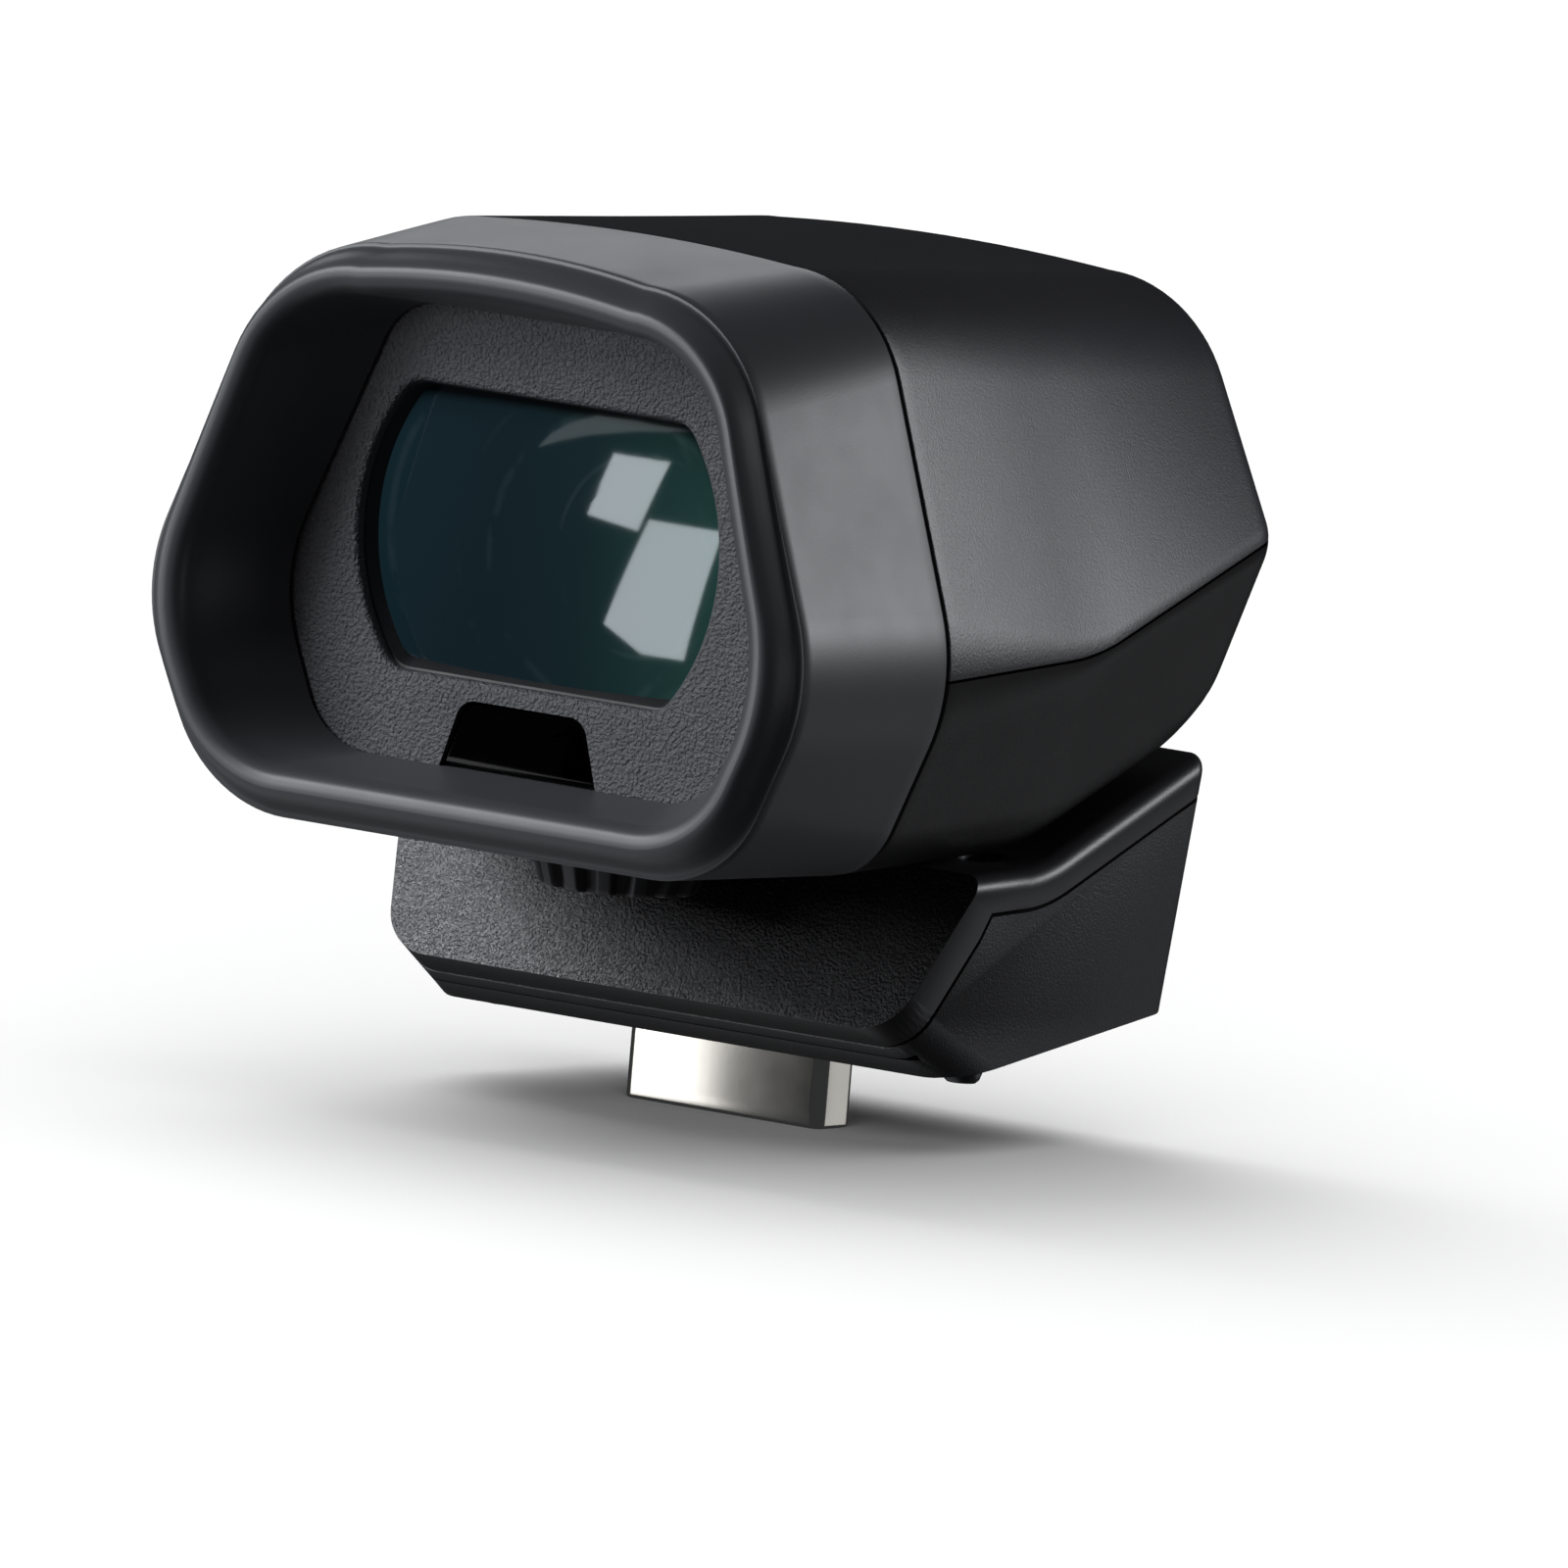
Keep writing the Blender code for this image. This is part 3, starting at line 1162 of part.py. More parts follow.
def hinge_barrel():
    """A round knuckle with a neck that stands on a foot inside the base."""
    start = place(-BARREL_HALF_WIDTH, HINGE_DEPTH, HINGE_RISE)
    made = cylinder("hinge_barrel", start, BARREL_RADIUS, 2 * BARREL_HALF_WIDTH, "X")
    foot_top = foot_top_rise()
    neck = box(
        "neck",
        place(-BARREL_HALF_WIDTH, HINGE_DEPTH - NECK_HALF_DEPTH, foot_top - FOOT_THICK / 2),
        place(BARREL_HALF_WIDTH, HINGE_DEPTH + NECK_HALF_DEPTH, HINGE_RISE),
    )
    foot = box(
        "foot",
        place(-FOOT_HALF_WIDTH, HINGE_DEPTH - NECK_HALF_DEPTH, foot_top - FOOT_THICK),
        place(FOOT_HALF_WIDTH, HINGE_DEPTH + NECK_HALF_DEPTH, foot_top),
    )
    join(made, neck, foot)
    bore = cylinder("bore", place(-BARREL_HALF_WIDTH - OVERRUN, HINGE_DEPTH, HINGE_RISE),
                    PIN_SHANK_RADIUS + FIT_GAP, 2 * (BARREL_HALF_WIDTH + OVERRUN), "X", SMALL_ROUND_STEPS)
    slot = box(
        "slot",
        place(-RIBBON_SLOT_HALF, HINGE_DEPTH - RIBBON_SLOT_DEPTH, foot_top - FOOT_THICK - OVERRUN),
        place(RIBBON_SLOT_HALF, HINGE_DEPTH + RIBBON_SLOT_DEPTH, HINGE_RISE + BARREL_RADIUS + OVERRUN),
    )
    cut(made, bore, slot)
    for side in (-1, 1):
        x, depth = foot_screw_place(side)
        cut(made, pillar("hole", x, depth, foot_top - FOOT_THICK - OVERRUN, foot_top + OVERRUN,
                         SCREW_RADIUS + FIT_GAP))
    return dress(made, BLACK_BASE, 0.4)


def foot_top_rise():
    front = HINGE_DEPTH - NECK_HALF_DEPTH
    return base_top_rise(front) - COVER_THICK / math.cos(RAMP_ANGLE) - FOOT_DROP


def foot_screw_place(side):
    return side * (FOOT_HALF_WIDTH + BARREL_HALF_WIDTH) / 2, HINGE_DEPTH


def hinge_side_pieces(side, word):
    """Pin, friction washer, arm and nut on one side of the barrel."""
    direction = Vector((side, 0.0, 0.0))
    centre = place(0.0, HINGE_DEPTH, HINGE_RISE)
    washer_x = BARREL_HALF_WIDTH + FIT_GAP
    arm_x = washer_x + WASHER_THICK + FIT_GAP
    nut_x = arm_x + ARM_THICK + FIT_GAP
    pin_start = RIBBON_SLOT_HALF + FIT_GAP
    pin_end = nut_x + NUT_THICK + FIT_GAP
    pin_length = side * (pin_end - pin_start)
    pin = cylinder("hinge_pin_" + word, centre + direction * pin_start, PIN_SHANK_RADIUS, pin_length,
                   "X", SMALL_ROUND_STEPS)
    dress(pin, STEEL, 0.3, 1.0)
    hole = PIN_SHANK_RADIUS + FIT_GAP
    washer = turned("friction_washer_" + word, centre + direction * washer_x, [
        (hole, 0.0), (WASHER_RADIUS, 0.0), (WASHER_RADIUS, side * WASHER_THICK), (hole, side * WASHER_THICK),
    ], "X", SMALL_ROUND_STEPS)
    dress(washer, NICKEL, 0.4, 1.0)
    nut = cylinder("pin_nut_" + word, centre + direction * nut_x, NUT_RADIUS, side * NUT_THICK, "X", NUT_SIDES)
    nut_start = centre + direction * (nut_x - OVERRUN)
    cut(nut, cylinder("hole", nut_start, hole, side * (NUT_THICK + 2 * OVERRUN), "X", SMALL_ROUND_STEPS))
    dress(nut, STEEL, 0.35, 1.0)
    hinge_arm(side, word, arm_x)


def arm_seat_rise():
    """Underside of the arm's foot."""
    return underside_rise(ARM_FOOT_DEPTH, SHELL_WALL) + ARM_BOSS_HEIGHT


def arm_screw_place(side):
    x = BARREL_HALF_WIDTH + 2 * FIT_GAP + WASHER_THICK + ARM_FOOT_WIDTH * ARM_SCREW_SHARE
    return side * x, ARM_FOOT_DEPTH + ARM_FOOT_LENGTH / 2


def arm_screw_end():
    return underside_rise(ARM_FOOT_DEPTH, SHELL_WALL / 2) + FIT_GAP


def hinge_arm(side, word, arm_x):
    """A plate that turns on the pin and reaches forward to a foot on the shell's floor."""
    seat = arm_seat_rise()
    foot_back = ARM_FOOT_DEPTH + ARM_FOOT_LENGTH
    points = []
    centre = Vector((HINGE_DEPTH, HINGE_RISE))
    for i in range(ARM_STEPS + 1):
        angle = -math.pi * ARM_START_SHARE + 2 * math.pi * ARM_TURN_SHARE * i / ARM_STEPS
        points.append(centre + Vector((math.cos(angle), math.sin(angle))) * ARM_RADIUS)
    outline = [Vector((ARM_FOOT_DEPTH, seat)), Vector((foot_back, seat))] + points
    outline.append(Vector((ARM_FOOT_DEPTH, seat + ARM_FOOT_THICK)))
    half = ARM_THICK / 2
    arm = side_prism("hinge_arm_" + word, outline, half, side * (arm_x + half))
    near = side * (arm_x + half)
    far = side * (arm_x + ARM_FOOT_WIDTH)
    foot = box(
        "foot",
        place(min(near, far), ARM_FOOT_DEPTH, seat),
        place(max(near, far), foot_back, seat + ARM_FOOT_THICK),
    )
    join(arm, foot)
    bore_start = place(side * (arm_x - OVERRUN), HINGE_DEPTH, HINGE_RISE)
    bore_length = side * (ARM_THICK + 2 * OVERRUN)
    bore = cylinder("bore", bore_start, PIN_SHANK_RADIUS + FIT_GAP, bore_length, "X", SMALL_ROUND_STEPS)
    x, depth = arm_screw_place(side)
    hole = pillar("hole", x, depth, seat - OVERRUN, seat + ARM_FOOT_THICK + OVERRUN, SCREW_RADIUS + FIT_GAP)
    cut(arm, bore, hole)
    dress(arm, STEEL, 0.4, 1.0)
    head = seat + ARM_FOOT_THICK + FIT_GAP + SCREW_HEAD_HEIGHT
    screw("arm_screw_" + word, x, depth, head, arm_screw_end(), 1)


def base_top_rise(depth):
    """Top of the base, which follows the underside of the head a little below it."""
    return max(flat_rise(depth, -CRADLE_GAP), ramp_rise(depth, -CRADLE_GAP))


def sole_rise(depth):
    """Underside of the base, which passes through the origin."""
    return -AXIS_HEIGHT + (depth - PLUG_DEPTH) * math.tan(SOLE_ANGLE)


def base_path():
    """The front and top of the base from the foot of the front panel to the back."""
    knee = ramp_start(-CRADLE_GAP)
    points = [
        Vector((PANEL_FOOT_DEPTH, PANEL_FOOT_RISE)),
        Vector((BASE_FRONT_DEPTH, base_top_rise(BASE_FRONT_DEPTH))),
        Vector((knee, base_top_rise(knee))),
        Vector((BASE_REAR_DEPTH, base_top_rise(BASE_REAR_DEPTH))),
    ]
    bend = corner_arc(points[1], points[2], points[3], RAMP_FILLET, FILLET_STEPS)
    return points[:2] + bend + points[3:]


def base_corners(wall=0.0):
    """Side view of the base with the half-width at each point: path, back and sole."""
    path = base_path()
    halves = [PANEL_FOOT_HALF]
    span = BASE_REAR_DEPTH - BASE_FRONT_DEPTH
    for point in path[1:]:
        halves.append(blend(BASE_TOP_HALF, BASE_REAR_HALF, (point.x - BASE_FRONT_DEPTH) / span))
    path = path + [
        Vector((BASE_REAR_DEPTH, sole_rise(BASE_REAR_DEPTH))),
        Vector((SOLE_FRONT_DEPTH, sole_rise(SOLE_FRONT_DEPTH))),
    ]
    halves += [SOLE_REAR_HALF, SOLE_FRONT_HALF]
    corners = path
    if wall:
        clockwise = list(reversed(path))
        corners = list(reversed(inset(clockwise, wall)))
    return corners, [half - wall for half in halves]


def base_solid(name, wall=0.0):
    corners, halves = base_corners(wall)
    rings = [[place(side * half, point.x, point.y) for point, half in zip(corners, halves)] for side in (-1, 1)]
    return loft(name, rings)


def round_base_edges(item):
    """Round the long top edges, the back, and the lower corners of the front panel."""
    mesh_data = bmesh.new()
    mesh_data.from_mesh(item.data)
    corners, halves = base_corners()
    count = len(corners)
    places = {}
    for i, (point, half) in enumerate(zip(corners, halves)):
        for side in (-1, 1):
            places[(i, side)] = place(side * half, point.x, point.y)

    def vertex(key):
        return min(mesh_data.verts, key=lambda v: (v.co - places[key]).length)

    def edge(first, second):
        return mesh_data.edges.get((vertex(first), vertex(second)))

    foot_edges = [edge((0, side), (count - 1, side)) for side in (-1, 1)]
    bmesh.ops.bevel(mesh_data, geom=foot_edges, offset=PANEL_CORNER_ROUND, segments=BEVEL_STEPS, profile=0.5,
                    affect="EDGES", clamp_overlap=True)
    top_edges = []
    rear = count - 3
    for i in range(1, count - 2):
        for side in (-1, 1):
            top_edges.append(edge((i, side), (i + 1, side)))
    top_edges.append(edge((rear, -1), (rear, 1)))
    bmesh.ops.bevel(mesh_data, geom=[e for e in top_edges if e], offset=BASE_EDGE_ROUND, segments=BEVEL_STEPS,
                    profile=0.5, affect="EDGES", clamp_overlap=True)
    mesh_data.to_mesh(item.data)
    mesh_data.free()
    shade(item)


def parting_prism(name, distance):
    """Everything further than a distance below the front and top of the base."""
    path = base_path()
    start = path[0] + (path[0] - path[1]).normalized() * OVERRUN
    end = path[-1] + (path[-1] - path[-2]).normalized() * OVERRUN
    route = [start] + path[1:-1] + [end]
    moved = offset_path(route, -distance)
    deep = sole_rise(SOLE_FRONT_DEPTH) - 2 * OVERRUN
    outline = moved + [Vector((moved[-1].x, deep)), Vector((moved[0].x, deep))]
    return side_prism(name, outline, BASE_TOP_HALF + OVERRUN)


def base_screw_places():
    pairs = (
        (BASE_SCREW_FRONT_SPACING, BASE_SCREW_FRONT_DEPTH),
        (BASE_SCREW_REAR_SPACING, BASE_SCREW_REAR_DEPTH),
    )
    return [(side * spacing, depth) for spacing, depth in pairs for side in (-1, 1)]


def base_top_cover():
    """The grained front panel and the top in one piece, with the neck's opening and the screw holes."""
    made = base_solid("base_top_cover")
    round_base_edges(made)
    cut(made, parting_prism("below", COVER_THICK))
    boss = SCREW_RADIUS + BOSS_WALL
    for x, depth in base_screw_places():
        top = base_top_rise(depth) - COVER_THICK / 2
        join(made, pillar("boss", x, depth, BASE_BOSS_MEET_RISE + FIT_GAP, top, boss))
        cut(made, pillar("hole", x, depth, BASE_BOSS_MEET_RISE - OVERRUN,
                         BASE_BOSS_MEET_RISE + SCREW_BITE / 2 + FIT_GAP, SCREW_RADIUS + FIT_GAP))
    half = BARREL_HALF_WIDTH + BARREL_SIDE_GAP
    reach = NECK_HALF_DEPTH + BARREL_SIDE_GAP
    top = HINGE_RISE
    cut(made, box("neck_hole", place(-half, HINGE_DEPTH - reach, foot_top_rise() - OVERRUN),
                  place(half, HINGE_DEPTH + reach, top)))
    for side in (-1, 1):
        x = side * CAPTIVE_SPACING
        top = base_top_rise(CAPTIVE_DEPTH)
        cut(made, pillar("key_hole", x, CAPTIVE_DEPTH, top - COVER_THICK - OVERRUN, top + OVERRUN,
                         CAPTIVE_HOLE_RADIUS))
    return dress(made, BLACK_BASE, 0.45)


def captive_head_top():
    """Top of the captive screws' heads, under the cover."""
    return base_top_rise(CAPTIVE_DEPTH) - COVER_THICK / math.cos(FLAT_ANGLE) - FIT_GAP


def housing_cavity(name):
    """The space inside the lower housing, open at the top."""
    wall = HOUSING_WALL
    shift = COVER_THICK + FIT_GAP + wall
    path = base_path()
    start = path[0] + (path[0] - path[1]).normalized() * OVERRUN
    front = offset_path([start, path[1], path[2]], -shift)
    floor_front = sole_rise(front[0].x) + wall
    direction = (front[1] - front[0]).normalized()
    low = front[0] + direction * ((sole_rise(front[0].x) + wall - front[0].y) / direction.y)
    low = low + Vector((0.0, sole_rise(low.x) + wall - low.y))
    rear = BASE_REAR_DEPTH - wall
    top = base_top_rise(BASE_REAR_DEPTH) + OVERRUN
    high = front[0] + direction * ((top - front[0].y) / direction.y)
    outline = [low, high, Vector((rear, top)), Vector((rear, sole_rise(rear) + wall))]
    bottom_half = min(SOLE_FRONT_HALF, SOLE_REAR_HALF) - wall
    lean = (BASE_TOP_HALF - SOLE_FRONT_HALF) / (base_top_rise(BASE_FRONT_DEPTH) - floor_front)
    rings = []
    for side in (-1, 1):
        ring = []
        for point in outline:
            half = bottom_half + lean * (point.y - floor_front)
            ring.append(place(side * half, point.x, point.y))
        rings.append(ring)
    return loft(name, rings)


def base_lower_housing():
    """A tub under the cover with tubes for the captive screws, bosses, and pads for the barrel's foot."""
    made = base_solid("base_lower_housing")
    round_base_edges(made)
    keep = parting_prism("keep", COVER_THICK + FIT_GAP)
    combine(made, keep, "INTERSECT")
    cut(made, housing_cavity("cavity"))
    for side in (-1, 1):
        x = side * CAPTIVE_SPACING
        tube = CAPTIVE_RADIUS + FIT_GAP + CAPTIVE_TUBE_WALL
        floor = sole_rise(CAPTIVE_DEPTH) + HOUSING_WALL / 2
        top = captive_head_top() - CAPTIVE_HEAD_HEIGHT - FIT_GAP
        join(made, pillar("tube", x, CAPTIVE_DEPTH, floor, top, tube))
        head_radius = CAPTIVE_HEAD_RADIUS + FIT_GAP
        cut(
            made,
            pillar("bore", x, CAPTIVE_DEPTH, floor - OVERRUN, top + OVERRUN, CAPTIVE_RADIUS + FIT_GAP),
            pillar("head_room", x, CAPTIVE_DEPTH, top + FIT_GAP / 2, top + OVERRUN, head_radius),
        )
    boss = SCREW_RADIUS + BOSS_WALL
    for x, depth in base_screw_places():
        floor = sole_rise(depth) + HOUSING_WALL / 2
        join(made, pillar("boss", x, depth, floor, BASE_BOSS_MEET_RISE, boss))
        cut(
            made,
            pillar("hole", x, depth, floor - OVERRUN, BASE_BOSS_MEET_RISE + OVERRUN, SCREW_RADIUS + FIT_GAP),
            pillar("sink", x, depth, floor - OVERRUN, base_screw_seat(depth), SCREW_HEAD_RADIUS + FIT_GAP),
            pillar("room", x, depth, BASE_BOSS_MEET_RISE + FIT_GAP / 2, BASE_BOSS_MEET_RISE + OVERRUN,
                   boss + FIT_GAP),
        )
    pad_top = foot_top_rise() - FOOT_THICK - FIT_GAP
    for side in (-1, 1):
        x, depth = foot_screw_place(side)
        half = (FOOT_HALF_WIDTH - BARREL_HALF_WIDTH) / 2 + FIT_GAP
        pad = box("pad", place(x - half, depth - NECK_HALF_DEPTH / 2, sole_rise(depth) + HOUSING_WALL / 2),
                  place(x + half, depth + NECK_HALF_DEPTH / 2, pad_top))
        join(made, pad)
        cut(made, pillar("hole", x, depth, foot_screw_end() - FIT_GAP, pad_top + OVERRUN,
                         SCREW_RADIUS + FIT_GAP))
    plug_hole = plug_outline("plug_hole", FIT_GAP, -AXIS_HEIGHT - OVERRUN, sole_rise(PLUG_DEPTH) + OVERRUN)
    cut(made, plug_hole)
    return dress(made, BLACK_BASE, 0.45)


def foot_screw_end():
    return foot_top_rise() - FOOT_THICK - SCREW_BITE


def foot_screws():
    for side, word in ((-1, "left"), (1, "right")):
        x, depth = foot_screw_place(side)
        head = foot_top_rise() + FIT_GAP + SCREW_HEAD_HEIGHT
        screw("foot_screw_" + word, x, depth, head, foot_screw_end(), 1)


def base_screw_seat(depth):
    return sole_rise(depth) + SCREW_HEAD_HEIGHT + 2 * FIT_GAP


def base_screws():
    for i, (x, depth) in enumerate(base_screw_places()):
        head = base_screw_seat(depth) - FIT_GAP - SCREW_HEAD_HEIGHT
        screw("base_screw_%d" % (i + 1), x, depth, head, BASE_BOSS_MEET_RISE + SCREW_BITE / 2)


def plug_outline(name, margin, low, high):
    """An upright body with the plug's section, grown by a margin."""
    half_width = PLUG_HALF_WIDTH + margin
    half_depth = PLUG_HALF_DEPTH + margin
    corners = [
        Vector((half_width, -half_depth)), Vector((half_width, half_depth)),
        Vector((-half_width, half_depth)), Vector((-half_width, -half_depth)),
    ]
    ring = []
    radius = max(PLUG_CORNER + margin, FIT_GAP)
    for i in range(4):
        ring.extend(corner_arc(corners[i - 1], corners[i], corners[(i + 1) % 4], radius, CORNER_STEPS))
    rings = [[place(x, PLUG_DEPTH + along, rise) for x, along in ring] for rise in (low, high)]
    return loft(name, rings)


def board_rise():
    return -AXIS_HEIGHT + BOARD_RISE


def plug_pieces():
    """Metal shell, the tongue with its contacts inside it, and the board they stand on."""
    low = -AXIS_HEIGHT - PLUG_DROP
    high = board_rise() - FIT_GAP
    shell = plug_outline("plug_shell", 0.0, low, high)
    cut(shell, plug_outline("hollow", -PLUG_WALL, low - OVERRUN, high + OVERRUN))
    dress(shell, NICKEL, 0.25, 1.0)
    half = PLUG_HALF_WIDTH - PLUG_WALL - FIT_GAP
    slim = PLUG_HALF_WIDTH - PLUG_WALL - TONGUE_SIDE_GAP
    tongue = box(
        "plug_tongue",
        place(-slim, PLUG_DEPTH - TONGUE_HALF_DEPTH, low + TONGUE_SINK),
        place(slim, PLUG_DEPTH + TONGUE_HALF_DEPTH, high),
    )
    root_half_depth = PLUG_HALF_DEPTH - PLUG_WALL - FIT_GAP
    root = box(
        "root",
        place(-half + PLUG_CORNER, PLUG_DEPTH - root_half_depth, high - PLUG_CUP_HEIGHT),
        place(half - PLUG_CORNER, PLUG_DEPTH + root_half_depth, high),
    )
    join(tongue, root)
    dress(tongue, BLACK_SHELL, 0.5)
    board = box(
        "connector_board",
        place(-CONNECTOR_BOARD_HALF, PLUG_DEPTH - CONNECTOR_BOARD_FRONT, board_rise()),
        place(CONNECTOR_BOARD_HALF, PLUG_DEPTH + CONNECTOR_BOARD_BACK, board_rise() + BOARD_THICK),
    )
    dress(board, BOARD_GREEN, 0.5)


def base_ribbon():
    top = board_rise() + BOARD_THICK + FIT_GAP + RIBBON_THICK
    return ribbon("base_ribbon", [
        (PLUG_DEPTH + CONNECTOR_BOARD_BACK - RIBBON_BEND, top),
        (HINGE_DEPTH, top),
        (HINGE_DEPTH, HINGE_RISE + BARREL_RADIUS - FIT_GAP),
    ])


def captive_screws():
    for side, word in ((-1, "left"), (1, "right")):
        top = captive_head_top()
        tip = sole_rise(CAPTIVE_DEPTH) - CAPTIVE_TIP
        length = top - tip
        made = turned("captive_screw_" + word, place(side * CAPTIVE_SPACING, CAPTIVE_DEPTH, top), [
            (0.0, -CAPTIVE_SOCKET_DEPTH),
            (CAPTIVE_SOCKET_RADIUS, -CAPTIVE_SOCKET_DEPTH),
            (CAPTIVE_SOCKET_RADIUS, 0.0),
            (CAPTIVE_HEAD_RADIUS, 0.0),
            (CAPTIVE_HEAD_RADIUS, -CAPTIVE_HEAD_HEIGHT),
            (CAPTIVE_RADIUS, -CAPTIVE_HEAD_HEIGHT),
            (CAPTIVE_RADIUS, -length + FIT_GAP),
            (CAPTIVE_RADIUS - FIT_GAP, -length),
            (0.0, -length),
        ], "Z", SMALL_ROUND_STEPS)
        dress(made, STEEL, 0.35, 1.0)


def pivot(name, depth, rise, x=0.0):
    """An empty on a joint's axis."""
    made = bpy.data.objects.new(name, None)
    made.location = place(x, depth, rise)
    bpy.context.collection.objects.link(made)
    return made


def hang(names, holder):
    """Parent objects to an empty and keep them where they are."""
    for name in names:
        item = bpy.data.objects[name]
        item.parent = holder
        item.location = -holder.location


def group_moving_pieces():
    """Each moving group hangs from an empty on its own axis."""
    head = pivot("head_pivot", HINGE_DEPTH, HINGE_RISE)
    hang(HEAD_PIECES, head)
    focus = pivot("focus_pivot", KNOB_DEPTH, knob_top_rise())
    hang(("focus_knob", "knob_clip"), focus)
    carriage = pivot("carriage_pivot", CARRIAGE_DEPTH, 0.0)
    hang(("lens_carriage", "inner_lens"), carriage)
    for side, word in ((-1, "left"), (1, "right")):
        screw_pivot = pivot("screw_pivot_" + word, CAPTIVE_DEPTH, captive_head_top(), side * CAPTIVE_SPACING)
        hang(("captive_screw_" + word,), screw_pivot)


def build():
    clear_objects()
    eyecup()
    bezel()
    eyepiece_frame()
    eye_lens()
    sensor_pieces()
    lens_guide()
    lens_carriage()
    inner_lens()
    display_pieces()
    display_ribbon()
    upper, lower = shells()
    upper_shell(upper)
    lower_shell(lower)
    shell_screws()
    focus_knob()
    knob_clip()
    hinge_barrel()
    for side, word in ((-1, "left"), (1, "right")):
        hinge_side_pieces(side, word)
    base_top_cover()
    base_lower_housing()
    foot_screws()
    base_screws()
    plug_pieces()
    base_ribbon()
    captive_screws()
    group_moving_pieces()


build()
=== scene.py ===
import math

import bmesh
import bpy
from mathutils import Matrix, Vector


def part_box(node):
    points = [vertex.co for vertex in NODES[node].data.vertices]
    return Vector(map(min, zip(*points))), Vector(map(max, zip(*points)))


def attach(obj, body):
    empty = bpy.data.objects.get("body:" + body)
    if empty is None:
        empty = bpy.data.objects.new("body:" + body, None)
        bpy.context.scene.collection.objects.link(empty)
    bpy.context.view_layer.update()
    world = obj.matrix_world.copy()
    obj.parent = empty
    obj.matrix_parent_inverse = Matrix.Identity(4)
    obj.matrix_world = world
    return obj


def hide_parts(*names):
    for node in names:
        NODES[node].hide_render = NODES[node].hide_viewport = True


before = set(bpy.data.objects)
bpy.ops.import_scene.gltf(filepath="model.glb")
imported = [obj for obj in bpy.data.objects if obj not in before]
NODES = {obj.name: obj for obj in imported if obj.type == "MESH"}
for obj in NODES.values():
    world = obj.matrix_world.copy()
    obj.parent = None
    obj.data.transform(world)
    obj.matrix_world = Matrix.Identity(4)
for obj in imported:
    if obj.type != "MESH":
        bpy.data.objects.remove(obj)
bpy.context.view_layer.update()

MM = 0.001
AXIS_HEIGHT = 36.4
PLUG_DEPTH = 38.2

# Fineness of the outlines
CORNER = 14
CROWN_POINTS = 12
SIDE_POINTS = 6
LEAST_ROUND = 0.2

SIDES = (-1, 1)


# Outlines, in mm: x, depth, rise
def place(x, depth, rise):
    return Vector((x, depth - PLUG_DEPTH, rise + AXIS_HEIGHT)) * MM


def blend(low, high, share):
    return low + (high - low) * share


def inset(corners, distance):
    moved = []
    count = len(corners)
    for i in range(count):
        before, here, after = Vector(corners[i - 1]), Vector(corners[i]), Vector(corners[(i + 1) % count])
        arriving = (here - before).normalized()
        leaving = (after - here).normalized()
        first = Vector((-arriving.y, arriving.x))
        second = Vector((-leaving.y, leaving.x))
        moved.append(here + (first + second) * (distance / (1.0 + first.dot(second))))
    return moved


def corner_arc(before, here, after, radius, steps):
    arriving = (here - before).normalized()
    leaving = (after - here).normalized()
    turn = math.atan2(arriving.cross(leaving), arriving.dot(leaving))
    half = math.tan(abs(turn) / 2)
    reach = min(radius * half, (here - before).length * 0.48, (after - here).length * 0.48)
    real = reach / half
    side = math.copysign(1.0, turn)
    normal = Vector((-arriving.y, arriving.x)) * side
    centre = here - arriving * reach + normal * real
    points = []
    for i in range(steps + 1):
        angle = turn * i / steps
        arm = -normal * real
        points.append(centre + Vector((
            arm.x * math.cos(angle) - arm.y * math.sin(angle),
            arm.x * math.sin(angle) + arm.y * math.cos(angle),
        )))
    return points


def six_corners(top, middle, bottom):
    right = [Vector(middle), Vector(top)]
    left = [Vector((-top[0], top[1])), Vector((-middle[0], middle[1]))]
    return right + left + [Vector((-bottom[0], bottom[1])), Vector(bottom)]


def rounded_ring(corners, radii, crown):
    """A rounded six-cornered outline with points along its straights; crown lifts the top one."""
    count = len(corners)
    arcs = []
    for i in range(count):
        radius = max(radii[i], LEAST_ROUND)
        arcs.append(corner_arc(corners[i - 1], corners[i], corners[(i + 1) % count], radius, CORNER))
    points = []
    for i in range(count):
        points.extend(arcs[i])
        after = arcs[(i + 1) % count][0]
        steps = CROWN_POINTS if i == 1 else SIDE_POINTS
        for k in range(1, steps):
            share = k / steps
            point = arcs[i][-1].lerp(after, share)
            if i == 1:
                point = point + Vector((0.0, crown * 4 * share * (1 - share)))
            points.append(point)
    return points


def at_depth(ring, depth):
    return [place(x, depth, rise) for x, rise in ring]


def mixed(first, second, share):
    return [a.lerp(b, share) for a, b in zip(first, second)]


# Driving dimensions of the head: T, M and B are its top, middle and bottom corners, R their rounds
SEAM = 17.0
SEAM_T, SEAM_M, SEAM_B = (21.4, 21.75), (31.45, -6.6), (25.1, -21.9)
SEAM_R = (10.7, 14.0, 6.4)
LIP_T, LIP_M, LIP_B = (20.2, 20.6), (30.5, -6.55), (23.4, -22.15)
LIP_R = (12.6, 13.2, 10.6)
REAR_T, REAR_M, REAR_B = (22.2, 20.1), (31.1, 2.6), (24.3, -16.2)
BEAD_T, BEAD_M, BEAD_B = (19.9, 18.6), (28.1, -6.85), (22.1, -19.85)
BEAD_R = (10.6, 16.0, 9.6)
WELL_T, WELL_M, WELL_B = (13.6, 16.2), (22.6, -5.4), (17.4, -17.2)
WELL_R = (5.0, 12.0, 6.5)
LIP_CROWN, SEAM_CROWN = 0.9, 0.6
LIP_EDGE = 0.8
